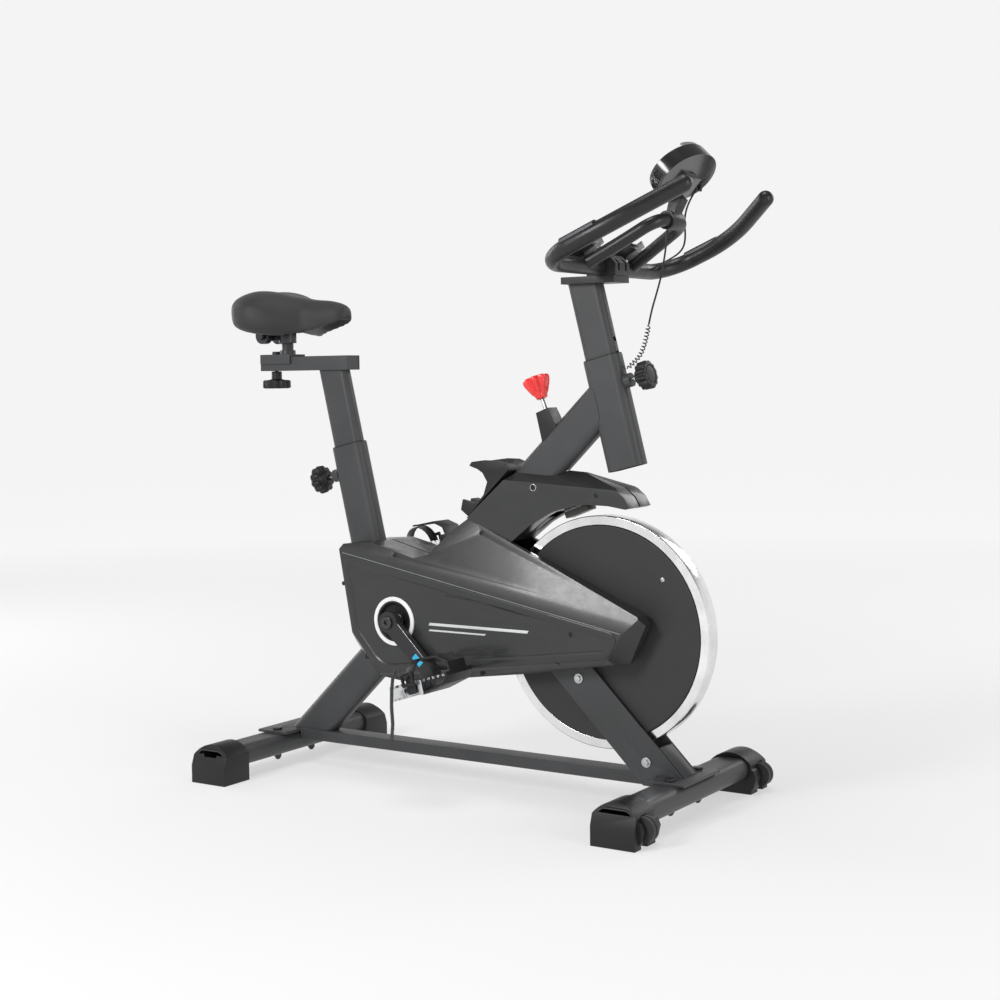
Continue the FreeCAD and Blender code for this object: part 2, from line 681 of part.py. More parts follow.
def pedal_body(side):
    """Alloy cage: centre barrel, two toothed rails and end bars."""
    x, z = pedal_axis(side)
    a = side * PEDAL_IN
    b = side * PEDAL_OUT
    y0 = min(a, b)
    y1 = max(a, b)
    barrel = rod_y(12.0, (x, z), y0, y1)
    rails = [box(x + s * PEDAL_HALF - 3, x + s * PEDAL_HALF + 3, y0, y1, z - 13, z + 13) for s in (-1, 1)]
    ends = [box(x - PEDAL_HALF, x + PEDAL_HALF, y, y + 5, z - 9, z + 9) for y in (y0, y1 - 5)]
    body = barrel.fuse(rails + ends)
    for s in (-1, 1):
        for i in range(5):
            y = y0 + 9 + i * (y1 - y0 - 18) / 4.0
            notch = box(x + s * PEDAL_HALF - 4, x + s * PEDAL_HALF + 4, y - 3, y + 3, z + 9, z + 20)
            under = box(x + s * PEDAL_HALF - 4, x + s * PEDAL_HALF + 4, y - 3, y + 3, z - 20, z - 9)
            body = body.cut(notch).cut(under)
    body = body.cut(rod_y(PEDAL_SPINDLE_RADIUS + RUNNING, (x, z), y0 - 1, y1 + 1))
    return pitched(body, side)


def toe_cage(side):
    """Moulded cage: plate ahead of the pedal, nose, and a hoop back over the toes."""
    x, z = pedal_axis(side)
    y0 = min(side * (PEDAL_IN - 1), side * (PEDAL_OUT + 1))
    y1 = max(side * (PEDAL_IN - 1), side * (PEDAL_OUT + 1))
    outer = [(x + 35.4, z - 13), (x + 82, z - 4), (x + 93, z + 10), (x + 90, z + 32), (x + 70, z + 46),
             (x + 30, z + 49), (x + 30, z + 46), (x + 68, z + 43), (x + 86, z + 30), (x + 89, z + 11),
             (x + 80, z), (x + 35.4, z - 9)]
    cage = prism(outer, y0, y1)
    narrow = box(x + 36, x + 200, y0 - 1, y0 + 14, z + 16, z + 100)
    narrow2 = box(x + 36, x + 200, y1 - 14, y1 + 1, z + 16, z + 100)
    cage = cage.cut(narrow).cut(narrow2)
    return pitched(cage, side)


def pedal_strap(side):
    """Strap over the foot from one side of the pedal to the other, with its buckle outboard."""
    x, z = pedal_axis(side)
    inner = PEDAL_IN - 4
    outer = PEDAL_OUT + 4
    mid = (inner + outer) / 2
    half = (outer - inner) / 2
    y_sign = side
    outline = []
    inside = []
    for i in range(13):
        angle = math.pi * i / 12.0
        outline.append((mid + half * math.cos(angle), z + 10 + STRAP_RISE * math.sin(angle)))
        inside.append((mid + (half - 2) * math.cos(angle), z + 10 + (STRAP_RISE - 2) * math.sin(angle)))
    outline = [(outer, z - 8)] + outline + [(inner, z - 8)]
    inside = [(inner + 2, z - 8)] + inside[::-1] + [(outer - 2, z - 8)]
    pts = [V(x + 6, y_sign * y, zz) for y, zz in outline + inside]
    pts.append(pts[0])
    band = Part.Face(Part.makePolygon(pts)).extrude(V(18, 0, 0))
    return pitched(band, side)


def strap_buckle(side):
    x, z = pedal_axis(side)
    y = side * (PEDAL_OUT + 6)
    y0 = min(y, y + side * 5)
    frame = box(x + 2, x + 28, y0, y0 + 5, z + 6, z + 30)
    window = box(x + 6, x + 24, y0 - 1, y0 + 6, z + 12, z + 24)
    return pitched(frame.cut(window), side)


def strap_tail_route():
    """The free end of the right strap: out of the buckle over the top and straight down."""
    x, z = pedal_axis(-1)
    y = -(PEDAL_OUT + 16)
    return [(x + 4, y + 3, z + 30), (x - 4, y, z + 42), (x - 13, y, z + 27), (x - 16, y, z + 4),
            (x - 17, y, z - 26), (x - 15, y, z - 56), (x - 18, y, z - 86)]


# ---------------------------------------------------------------------------------------------
# covers
# ---------------------------------------------------------------------------------------------
# Side outline of the belt cover where its halves meet, from the seat sleeve round by the rear.
COVER_OUTLINE = [(-252, 434), (-279, 400), (-279, 350), (-263, 287), (-236, 232), (-198, 203), (-130, 187),
                 (-90, 186), (0, 204), (130, 222), (270, 246), (335, 256), (368, 322), (358, 337), (20, 481),
                 (10, 491), (-28, 462), (-66, 421), (-96, 414), (-150, 428), (-190, 438)]
# The crease along the outer face: the face is upright below it and falls back above it.
CREASE_REAR = (-224.0, 413.0)
CREASE_NOSE = (316.0, 311.0)


def halfspace(point, normal):
    """A large block that fills the side of a plane that its normal points to."""
    size = 1500.0
    block = Part.makeBox(size, size, size, V(-size / 2, -size / 2, 0))
    block.Placement = FreeCAD.Placement(V(*point), FreeCAD.Rotation(V(0, 0, 1), V(*normal)))
    return block


def plane_normal(a, b, c):
    n = (V(*b) - V(*a)).cross(V(*c) - V(*a))
    n.normalize()
    return n


def cover_blank(inset):
    """The right half's outer form, drawn in by inset all over."""
    face = Part.Face(Part.makePolygon([V(x, 0, z) for x, z in COVER_OUTLINE + COVER_OUTLINE[:1]]))
    if inset:
        face = face.makeOffset2D(-inset, 2)
    block = face.extrude(V(0, -(COVER_FACE - inset), 0))
    a = (CREASE_REAR[0], -COVER_FACE, CREASE_REAR[1])
    b = (CREASE_NOSE[0], -COVER_FACE, CREASE_NOSE[1])
    cuts = [
        (a, b, (20.0, -35.0, 488.0)),
        ((-254.0, -COVER_FACE, 400.0), (-236.0, -COVER_FACE, 300.0), (-280.0, -34.0, 400.0)),
        ((-222.0, -COVER_FACE, 262.0), (-184.0, -COVER_FACE, 218.0), (-244.0, -40.0, 244.0)),
        ((-120.0, -COVER_FACE, 207.0), (200.0, -COVER_FACE, 249.0), (0.0, -50.0, 200.0)),
        ((330.0, -COVER_FACE, 300.0), (300.0, -COVER_FACE, 250.0), (372.0, -46.0, 318.0)),
    ]
    inside = V(0.0, -20.0, 300.0)
    for p, q, r in cuts:
        n = plane_normal(p, q, r)
        if n.dot(inside - V(*p)) > 0:
            n = n * -1
        point = V(*p) - n * inset
        block = block.cut(halfspace((point.x, point.y, point.z), (n.x, n.y, n.z)))
    return max(block.Solids, key=lambda s: s.Volume)


# Pan-head screws, in the side view.
BELT_SCREWS = [(-136.0, 418.0), (36.0, 463.0), (-204.0, 228.0), (-250.0, 361.0), (49.0, 218.0), (237.0, 301.0)]
BRAKE_SCREWS = [(142.0, 545.0), (268.0, 534.0)]
SCREW_RADIUS = 4.0
SCREW_LONG = 9.0


def screw_at(blank, spot):
    """Screw whose head lies just below a cover's outer face, and the pocket that it sits in."""
    face = blank.common(rod_y(SCREW_RADIUS, spot, -100, 0)).BoundBox.YMin
    return rod_y(SCREW_RADIUS, spot, face + 1.2, face + SCREW_LONG), rod_y(SCREW_RADIUS, spot, -100, face + SCREW_LONG)


def with_screw_holes(shell, blank, spots):
    for spot in spots:
        shell = shell.cut(screw_at(blank, spot)[1])
    return shell


def belt_cover():
    """Right half of the belt cover; the left is its mirror image."""
    shell = cover_blank(0.0).cut(cover_blank(COVER_WALL))
    seam = box(-600, 700, -2.0, 5.0, 0, 700)
    shell = shell.cut(seam)
    shell = shell.cut(main_tube_prism(2.0))
    shell = shell.cut(seat_sleeve_prism(2.0))
    fork = prism([(FORK_REAR - 480.0 - 4, 480.0), (FORK_REAR - 60.0 - 4, 60.0), (FORK_FRONT - 60.0 + 4, 60.0),
                  (FORK_FRONT - 480.0 + 4, 480.0)], -COVER_CLEAR, 0)
    shell = shell.cut(fork)
    shell = shell.cut(rod_y(RIM_RADIUS + 5, WHEEL_AXIS, -COVER_CLEAR, 0))
    shell = shell.cut(box(60, 700, -COVER_CLEAR, 5, 0, 700))
    shell = shell.cut(rod_y(34.0, CRANK_AXIS, -100, 0))
    shell = with_screw_holes(shell, cover_blank(0.0), BELT_SCREWS)
    return max(shell.Solids, key=lambda s: s.Volume)


def crank_ring(side):
    """White trim ring round the crank opening, with a collar down into the cover."""
    face = ring_y(44.4, 33.0, CRANK_AXIS, side * COVER_FACE, side * (COVER_FACE + 2.5))
    collar = ring_y(33.9, 31.5, CRANK_AXIS, side * (COVER_FACE - 9), side * (COVER_FACE + 1.0))
    return face.fuse(collar)


BRAKE_OUTLINE = [(2, 488), (80, 444), (96, 449), (136, 480), (179, 503), (212, 513), (248, 518), (290, 517),
                 (323, 512), (331, 515), (322, 531), (303, 547), (228, 571), (148, 577), (96, 570)]
BRAKE_WALL = 2.5


def brake_blank(inset):
    """Outer form of the brake cover's right half, drawn in by inset all over."""
    face = Part.Face(Part.makePolygon([V(x, 0, z) for x, z in BRAKE_OUTLINE + BRAKE_OUTLINE[:1]]))
    if inset:
        face = face.makeOffset2D(-inset, 2)
    block = face.extrude(V(0, -(BRAKE_HALF - inset), 0))
    return block.cut(halfspace((160.0, -BRAKE_HALF + inset, 552.0 - inset), (0.05, -0.55, 0.83)))


def brake_cover():
    """Right half of the small cover over the brake."""
    shell = brake_blank(0.0).cut(brake_blank(BRAKE_WALL)).cut(box(-600, 700, -2.0, 5.0, 0, 700))
    shell = shell.cut(main_tube_prism(2.0))
    shell = shell.cut(bar_sleeve_prism(3.0))
    # The wheel turns in its open underside, between its two walls, behind a closed nose.
    wheel_room = rod_y(RIM_RADIUS + 24, WHEEL_AXIS, -RIM_HALF - 4, 0).common(box(60, 300, -60, 0, 300, 700))
    shell = shell.cut(wheel_room)
    shell = shell.cut(brake_bar(ROD_RADIUS + 1.0, 20.0, 120.0))
    shell = shell.cut(cover_blank(0.0))
    shell = with_screw_holes(shell, brake_blank(0.0), BRAKE_SCREWS)
    return max(shell.Solids, key=lambda s: s.Volume)


def cover_screws():
    """The screws in the faces of the right covers and, mirrored, the left ones."""
    belt = cover_blank(0.0)
    brake = brake_blank(0.0)
    right = [screw_at(belt, spot)[0] for spot in BELT_SCREWS] + [screw_at(brake, spot)[0] for spot in BRAKE_SCREWS]
    return right + [mirror_y(screw) for screw in right]


# The bottle cage in the tube's own directions: along the tube, and out from its top.
HOLDER_OUTLINE = [(604, 0), (722, 0), (726, 12), (718, 28), (700, 46), (676, 64), (668.5, 62.5), (678, 45),
                  (681, 33), (677, 15), (655, 4), (634, 3), (626, 10), (617, 28.5), (601, 18)]
HOLDER_HALF = 38.0
BOTTLE_RADIUS = 36.5
BOTTLE_RISE = 46.0


def bottle_holder():
    """Moulded bottle cage on the top of the main tube: back, two hooked arms and a small ledge."""
    dx = MAIN_TOP[0] - MAIN_LOW[0]
    dz = MAIN_TOP[1] - MAIN_LOW[1]
    length = math.hypot(dx, dz)
    ux, uz = dx / length, dz / length

    def at(t, n):
        """Point t along the tube and n above its top."""
        rise = TUBE_DEEP / 2 + n
        return (MAIN_LOW[0] + ux * t - uz * rise, MAIN_LOW[1] + uz * t + ux * rise)

    body = prism([at(t, n) for t, n in HOLDER_OUTLINE], -HOLDER_HALF, HOLDER_HALF)
    a = at(580, BOTTLE_RISE)
    b = at(760, BOTTLE_RISE)
    start = (a[0], 0, a[1])
    end = (b[0], 0, b[1])
    ledge = prism([at(595, -1), at(632, -1), at(632, 40), at(595, 40)], -12, 12)
    wrap = rod(HOLDER_HALF + 1, start, end).fuse(
        prism([at(580, -1), at(760, -1), at(760, BOTTLE_RISE), at(580, BOTTLE_RISE)], -HOLDER_HALF, HOLDER_HALF))
    cage = body.cut(rod(BOTTLE_RADIUS, start, end)).fuse(body.common(ledge)).common(wrap)
    blank = cover_blank(0.0)
    cage = cage.cut(blank).cut(mirror_y(blank))
    return max(cage.Solids, key=lambda s: s.Volume)


# ---------------------------------------------------------------------------------------------
# brake
# ---------------------------------------------------------------------------------------------
BRAKE_TILT = math.radians(21.0)
BRAKE_PAD = (214.6, 503.4)
ROD_RADIUS = 4.0


def brake_step(distance, across=0.0):
    return step(BRAKE_PAD, BRAKE_TILT, distance, across)


def tension_housing():
    """Tapered block on the main tube with the brake rod through it."""
    low = 118.0
    a = brake_step(low, -22)
    b = brake_step(low, 22)
    c = brake_step(187, 13)
    d = brake_step(187, -13)
    block = prism([a, b, c, d], -15, 15).cut(main_tube_prism())
    block = max(block.Solids, key=lambda s: s.Volume)
    return block.cut(brake_bar(4.3, 60, 240))


def brake_bar(radius, start, end):
    p = brake_step(start)
    q = brake_step(end)
    return rod(radius, (p[0], 0, p[1]), (q[0], 0, q[1]))


def tension_rod():
    return brake_bar(ROD_RADIUS, 14.0, 223.0)


def pad_holder():
    """Bent steel carrier on the rod's end."""
    return prism([brake_step(7, -24), brake_step(7, 24), brake_step(14, 20), brake_step(14, -20)], -14, 14)


def brake_pad():
    """Felt block with its face curved to the rim."""
    block = prism([brake_step(-4, -24), brake_step(-4, 24), brake_step(7, 24), brake_step(7, -24)], -14, 14)
    block = block.cut(rod_y(RIM_RADIUS + 4.0, WHEEL_AXIS, -30, 30))
    return max(block.Solids, key=lambda s: s.Volume)


def tension_knob():
    """Fluted knob, wider at the top."""
    p = brake_step(210)
    q = brake_step(214)
    axis = V(q[0] - p[0], 0, q[1] - p[1])
    start = V(p[0], 0, p[1])
    knob = Part.makeCone(16.0, 25.0, 30.0, start, axis)
    neck = Part.makeCylinder(11.0, 10.0, V(*[start.x, 0, start.z]) - axis * 2.0, axis)
    axis.normalize()
    cap = Part.makeCylinder(22.0, 8.0, start + axis * 30.0, axis)
    knob = knob.fuse([neck, cap])
    side = V(0, 1, 0)
    front = axis.cross(side)
    for i in range(8):
        angle = 2 * math.pi * i / 8
        spot = start + front * (27.0 * math.cos(angle)) + side * (27.0 * math.sin(angle))
        knob = knob.cut(Part.makeCylinder(6.0, 60.0, spot - axis * 10.0, axis))
    return knob.cut(brake_bar(ROD_RADIUS + RUNNING, 180, 223.05))


# ---------------------------------------------------------------------------------------------
# seat
# ---------------------------------------------------------------------------------------------
SLIDER_LOW = 754.0
SLIDER_HIGH = 781.0
SLIDER_REAR = -488.0
SLIDER_FRONT = -276.0
SLIDER_HALF = 19.5
STEM_X = -435.0
SLIDER_BOLT_X = -464.0
SLIDER_TRAVEL = 60.0
CLAMP_X = -474.0
CLAMP_Z = 822.0
CLAMP_BOLT_RADIUS = 5.0


def post(top, tilt, shown, inside, holes_down, holes_up, front):
    """Inner post with its row of pin holes."""
    high = step(top, tilt, shown)
    low = step(top, tilt, -inside)
    tube = oval_bar(low, high, POST_DEEP, POST_WIDE, POST_CORNER)
    bore = oval_bar(step(low, tilt, -1), step(high, tilt, 1), POST_DEEP - 4, POST_WIDE - 4, POST_CORNER - 2)
    tube = tube.cut(bore)
    for i in range(-holes_down, holes_up + 1):
        tube = tube.cut(across_rod(PIN_HOLE_RADIUS, top, tilt, PIN_DROP + i * HOLE_PITCH, 15 * front, 50 * front))
    return tube


def seat_post():
    tube = post(SEAT_TOP, SEAT_TILT, SEAT_SHOWN + 12, SEAT_INSIDE, SEAT_HOLES_DOWN, SEAT_HOLES_UP, -1)
    return tube.cut(box(-500, -200, -60, 60, SLIDER_LOW, 900))


def slider_tube():
    half = SLIDER_HALF
    outer = box(SLIDER_REAR, SLIDER_FRONT, -half, half, SLIDER_LOW, SLIDER_HIGH)
    inner = box(SLIDER_REAR, SLIDER_FRONT, -half + 2, half - 2, SLIDER_LOW + 2, SLIDER_HIGH - 2)
    slot = box(SLIDER_BOLT_X - 6, SLIDER_BOLT_X + SLIDER_TRAVEL + 6, -4.6, 4.6, SLIDER_LOW - 5, SLIDER_HIGH + 5)
    return outer.cut(inner).cut(slot)


def slider_plug(x0, x1):
    """Moulded plug that closes an end of the slider tube."""
    inside = SLIDER_HALF - 2
    return box(x0, x1, -inside, inside, SLIDER_LOW + 2, SLIDER_HIGH - 2)


def slider_bracket():
    """Channel that rides on the slider tube and carries the saddle stem."""
    half = SLIDER_HALF
    gap = 0.4
    x0 = SLIDER_REAR + 3
    x1 = -412.0
    top = SLIDER_HIGH + gap
    outer = box(x0, x1, -half - 4, half + 4, SLIDER_HIGH - 14, top + 4)
    inner = box(x0 - 1, x1 + 1, -half - gap, half + gap, SLIDER_HIGH - 20, top)
    bracket = outer.cut(inner)
    stem = rod(11.1, (STEM_X, 0, top), (STEM_X, 0, CLAMP_Z + 6))
    collar = rod(15.0, (STEM_X, 0, top + 3), (STEM_X, 0, top + 12))
    return bracket.fuse([stem, collar]).cut(rod(4.1, (SLIDER_BOLT_X, 0, 700), (SLIDER_BOLT_X, 0, 900)))


def slider_bolt():
    top = SLIDER_HIGH + 4.4
    shank = rod(4.0, (SLIDER_BOLT_X, 0, SLIDER_LOW - 30), (SLIDER_BOLT_X, 0, top))
    head = rod(8.0, (SLIDER_BOLT_X, 0, top), (SLIDER_BOLT_X, 0, top + 6))
    return shank.fuse(head)


def slider_knob():
    z1 = SLIDER_LOW - 0.8
    stem = rod(10.0, (SLIDER_BOLT_X, 0, z1 - 17), (SLIDER_BOLT_X, 0, z1))
    disc = rod(27.5, (SLIDER_BOLT_X, 0, z1 - 33), (SLIDER_BOLT_X, 0, z1 - 16))
    knob = disc.fuse(stem)
    for i in range(10):
        angle = 2 * math.pi * i / 10
        x = SLIDER_BOLT_X + 30 * math.cos(angle)
        y = 30 * math.sin(angle)
        knob = knob.cut(rod(5.5, (x, y, 700), (x, y, 745)))
    return knob.cut(rod(4.0 + RUNNING, (SLIDER_BOLT_X, 0, 723.95), (SLIDER_BOLT_X, 0, 800)))


def saddle_clamp():
    """Barrel block on the stem, a link behind it and the cross bolt with its nuts."""
    barrel = rod(17.0, (STEM_X, 0, CLAMP_Z - 15), (STEM_X, 0, CLAMP_Z + 6.5))
    bolt = rod_y(CLAMP_BOLT_RADIUS, (CLAMP_X, CLAMP_Z), -36, 36)
    nuts = [rod_y(8.0, (CLAMP_X, CLAMP_Z), s * 30.0, s * 37.0) for s in (-1, 1)]
    link = box(CLAMP_X - 8, STEM_X, -14, 14, CLAMP_Z - 10, CLAMP_Z + 6)
    link_ends = rod_y(10.0, (CLAMP_X, CLAMP_Z), -15.7, 15.7)
    return barrel.fuse(nuts + [bolt, link, link_ends]).cut(
        rod(11.15, (STEM_X, 0, 700), (STEM_X, 0, CLAMP_Z + 6.05)))


def rail_route(side):
    y = 23.0 * side
    return [(-492, y * 1.5, 858), (-480, y, 838), (-452, y, 831), (-420, y, 829), (-386, y, 838), (-352, y * 0.6, 850)]


def saddle_rail(side):
    """One bent rail of the saddle with the toothed cheek that grips it."""
    rail = pipe(rail_route(side), 3.5)
    cheek = rod_y(16.0, (CLAMP_X, CLAMP_Z), side * 16.0, side * 29.7)
    shape = rail.fuse(cheek).cut(rod_y(CLAMP_BOLT_RADIUS + RUNNING, (CLAMP_X, CLAMP_Z), side * 10, side * 40))
    return shape.cut(saddle())


def saddle():
    """Padded saddle as one closed solid: pear-shaped from above, crowned from the side."""
    half = 100.0
    rear = -HALF_LENGTH
    plan = [(rear, 40), (rear + 6, 70), (rear + 24, 95), (rear + 50, half), (rear + 84, 92), (rear + 116, 64),
            (rear + 146, 40), (rear + 186, 30), (rear + 210, 26), (rear + 222, 13)]
    points = [V(x, y, 700) for x, y in plan] + [V(x, -y, 700) for x, y in reversed(plan)]
    points.append(points[0])
    top = Part.Face(Part.makePolygon(points)).extrude(V(0, 0, 300))
    side = prism([(rear, 856), (rear + 2, 880), (rear + 12, 897), (rear + 34, 905), (rear + 80, 901),
                  (rear + 118, 889), (rear + 190, 881), (rear + 208, 876), (rear + 219, 862), (rear + 222, 846),
                  (rear + 220, 842), (rear + 160, 834), (rear + 122, 822), (rear + 86, 820), (rear + 50, 828),
                  (rear + 20, 842)], -150, 150)
    body = top.common(side)
    well = prism([(-498, 800), (-498, 849), (-470, 852), (-352, 858), (-340, 848), (-340, 800)], -46, 46)
    return body.cut(well)


def star_knob(top, tilt, near, far, radius, flutes, front, bore_end):
    """Round fluted knob square to a post, bored for its pin as far as bore_end."""
    sign = front
    knob = across_rod(radius, top, tilt, PIN_DROP, sign * near, sign * far)
    centre = step(top, tilt, -PIN_DROP, sign * near)
    axis = V(math.cos(tilt) * sign, 0, math.sin(tilt) * sign)
    start = V(centre[0], 0, centre[1])
    up = V(-math.sin(tilt), 0, math.cos(tilt))
    side = V(0, 1, 0)
    for i in range(flutes):
        angle = 2 * math.pi * i / flutes
        spot = start + up * ((radius + 3) * math.cos(angle)) + side * ((radius + 3) * math.sin(angle))
        knob = knob.cut(Part.makeCylinder(5.5, far - near + 20, spot - axis * 5.0, axis))
    return knob.cut(across_rod(PIN_RADIUS + RUNNING, top, tilt, PIN_DROP, sign * (near - 1), sign * bore_end))


def pin(top, tilt, near, far, front):
    return across_rod(PIN_RADIUS, top, tilt, PIN_DROP, front * near, front * far)


# ---------------------------------------------------------------------------------------------
# handlebar and console
# ---------------------------------------------------------------------------------------------
def bar_post():
    tube = post(BAR_TOP, BAR_TILT, BAR_SHOWN + 12, BAR_INSIDE, BAR_HOLES_DOWN, BAR_HOLES_UP, 1)
    return tube.cut(box(100, 400, -60, 60, PLATE_LOW, 1000))


def bar_mount_plate():
    plate = box(196, 300, -26, 26, PLATE_LOW, BAR_Z - BAR_RADIUS)
    return plate.cut(rod_y(BAR_RADIUS, (BAR_X, BAR_Z), -40, 40))


def bar_clamp():
    """Split block round the bar, with its two screws' slots at the front."""
    x, z = BAR_X, BAR_Z
    points = [(x - 24, z - 13.9), (x + 32, z - 13.9), (x + 32, z + 6), (x + 18, z + 20), (x - 14, z + 20), (x - 24, z + 8)]
    block = prism(points, -24, 24)
    slots = [box(x + 24, x + 40, y - 3, y + 3, z - 6, z + 14) for y in (-12, 12)]
    block = block.cut(rod_y(BAR_RADIUS, (x, z), -40, 40))
    for slot in slots:
        block = block.cut(slot)
    return block


def horn_route(side):
    return [(BAR_X, 0, BAR_Z), (BAR_X, side * 215, BAR_Z), (402, side * 215, 973), (496, side * 151, 1032)]


def bar_pipe(radius):
    """The bar from one end to the other, bends included."""
    right = horn_route(-1)
    left = horn_route(1)
    return pipe(right[::-1][:-1] + left[1:], radius)


def handlebar():
    return bar_pipe(BAR_RADIUS).cut(bar_pipe(BAR_RADIUS - BAR_WALL))


LOOP_ROUTE = [(BAR_X, -80, BAR_Z), (338, -62, 957), (396, -50, 991), (396, 50, 991), (338, 62, 957),
              (BAR_X, 80, BAR_Z)]


def inner_loop():
    """Smaller bar that carries the console: forward from the main bar and back."""
    loop = pipe(LOOP_ROUTE, LOOP_RADIUS).cut(pipe(LOOP_ROUTE, LOOP_RADIUS - 1.5))
    loop = loop.cut(bar_pipe(BAR_RADIUS))
    return max(loop.Solids, key=lambda s: s.Volume)


def grip_plug(side):
    """Rounded plug in the end of a horn."""
    end = V(496, side * 151, 1032)
    back = V(402, side * 215, 973) - end
    back.normalize()
    stem = Part.makeCylinder(BAR_RADIUS - BAR_WALL, 24.0, end, back)
    ball = Part.makeSphere(BAR_RADIUS, end)
    cut = Part.makeCylinder(60.0, 60.0, end, back)
    return ball.cut(cut).fuse(stem)


def grip_frame(side):
    """Corner and directions of the straight between a horn's two bends."""
    a = V(BAR_X, side * 215, BAR_Z)
    b = V(402, side * 215, 973)
    along = b - a
    along.normalize()
    up = V(-along.z, 0, along.x)
    return a, along, up


def pulse_sensor(side):
    """Bright plate let into a moulded band on top of the grip, one each side."""
    a, along, up = grip_frame(side)
    start = a + along * 52
    sleeve = Part.makeCylinder(BAR_RADIUS + 3.2, 66.0, start, along)
    sleeve = sleeve.cut(Part.makeCylinder(BAR_RADIUS, 80.0, start - along * 5, along))
    keep = Part.makeBox(24, 40, 66, V(-12, 0, 0))
    keep.Placement = placement(start, V(0, 1, 0), up, along)
    plate = sleeve.common(keep).cut(bar_pipe(BAR_RADIUS))
    return max(plate.Solids, key=lambda s: s.Volume)


ELBOW_Y = 71.0
ELBOW_CURVE = 62.0
ELBOW_HALF = 29.0
ELBOW_SHELL = 3.0
ELBOW_PAD = 8.0
ELBOW_LIFT = 6.0
ELBOW_START = -18.0
ELBOW_LENGTH = 56.0


def loop_frame():
    """Start of the inner bar's rising part, its direction and the way its top faces, in the side view."""
    start = V(LOOP_ROUTE[0][0], 0, LOOP_ROUTE[0][2])
    along = V(LOOP_ROUTE[1][0], 0, LOOP_ROUTE[1][2]) - start
    along.normalize()
    return start, along, V(-along.z, 0, along.x)


def elbow_trough(side, inner, outer):
    """Part of a long trough that lies along the inner bar, open upwards."""
    start, along, up = loop_frame()
    base = start + up * (LOOP_RADIUS + ELBOW_LIFT + ELBOW_CURVE) + V(0, side * ELBOW_Y, 0)
    a = base + along * ELBOW_START
    trough = Part.makeCylinder(outer, ELBOW_LENGTH, a, along).cut(Part.makeCylinder(inner, ELBOW_LENGTH, a, along))
    keep = Part.makeBox(60, 2 * ELBOW_HALF, 200, V(-ELBOW_CURVE - 10, -ELBOW_HALF, -20))
    keep.Placement = placement(a, up, V(0, 1, 0), along * -1)
    low = trough.common(keep)
    keep.Placement = placement(a, up, V(0, -1, 0), along)
    return trough.common(keep) if low.Volume < 1.0 else low.fuse(trough.common(keep))


def elbow_shell(side):
    """Curved shell of an elbow rest with the saddle block that sits on the inner bar."""
    shell = elbow_trough(side, ELBOW_CURVE - ELBOW_SHELL, ELBOW_CURVE)
    start, along, up = loop_frame()
    corners = [start + along * t + up * n for t, n in ((14, 6), (38, 6), (38, 21), (14, 21))]
    y = side * ELBOW_Y
    block = prism([(c.x, c.z) for c in corners], y - 10, y + 10)
    block = block.cut(pipe(LOOP_ROUTE, LOOP_RADIUS)).cut(elbow_trough(side, 1.0, ELBOW_CURVE))
    return shell, max(block.Solids, key=lambda s: s.Volume)


def elbow_pad(side):
    return (elbow_trough(side, ELBOW_CURVE - ELBOW_SHELL - ELBOW_PAD, ELBOW_CURVE - ELBOW_SHELL),)


# The console lies in a plane that rises forward; its face looks up and back at the rider.
CONSOLE_CENTRE = V(418, 0, 1068)
CONSOLE_LEAN = math.sqrt(0.5)
CONSOLE_UP = V(CONSOLE_LEAN, 0, CONSOLE_LEAN)
CONSOLE_OUT = V(-CONSOLE_LEAN, 0, CONSOLE_LEAN)
CONSOLE_HALF_WIDE = 75.0
CONSOLE_HALF_HIGH = 50.0
CONSOLE_THICK = 26.0


def console_place(u, v, w):
    """Console coordinates: u to the rider's left, v up the face, w out of the face."""
    return CONSOLE_CENTRE + V(0, 1, 0) * u + CONSOLE_UP * v + CONSOLE_OUT * w


def console_slab(half_wide, half_high, w0, w1):
    """Oval slab in the console's plane."""
    ellipse = Part.Ellipse(V(0, 0, 0), half_wide, half_high).toShape()
    slab = Part.Face(Part.Wire([ellipse])).extrude(V(0, 0, w1 - w0))
    slab.Placement = placement(console_place(0, 0, w0), V(0, -1, 0), CONSOLE_UP, CONSOLE_OUT)
    return slab


def console_block(u0, u1, v0, v1, w0, w1):
    block = Part.makeBox(u1 - u0, v1 - v0, w1 - w0, V(-u1, v0, w0))
    block.Placement = placement(CONSOLE_CENTRE, V(0, -1, 0), CONSOLE_UP, CONSOLE_OUT)
    return block


def console_housing():
    """Oval case with a screen recess, three button wells and a boss behind."""
    half = CONSOLE_THICK / 2
    body = console_slab(CONSOLE_HALF_WIDE, CONSOLE_HALF_HIGH, -half, half)
    recess = console_block(-42, 42, -12, 32, half - 3, half + 5)
    body = body.cut(recess)
    for i in (-1, 0, 1):
        body = body.cut(button_blank(i, 5.5, half - 8, half + 5))
    boss = console_block(-20, 20, -34, 8, -half - 12, -half + 1)
    return body.fuse(boss)


def button_blank(i, radius, w0, w1):
    p = console_place(24.0 * i, -27.0, w0)
    q = console_place(24.0 * i, -27.0, w1)
    return rod(radius, (p.x, p.y, p.z), (q.x, q.y, q.z))


def console_button(i):
    half = CONSOLE_THICK / 2
    return button_blank(i, 5.2, half - 5.5, half + 1.5)


def console_screen():
    half = CONSOLE_THICK / 2
    return console_block(-41.5, 41.5, -11.5, 31.5, half - 3, half - 0.8)


def device_lip():
    """Pale ledge across the lower face that a tablet or telephone stands on, and one above."""
    half = CONSOLE_THICK / 2
    upper = console_slab(CONSOLE_HALF_WIDE - 6, CONSOLE_HALF_HIGH - 3, half, half + 9)
    upper = upper.common(console_block(-34, 34, 38, 60, half - 5, half + 20))
    return upper


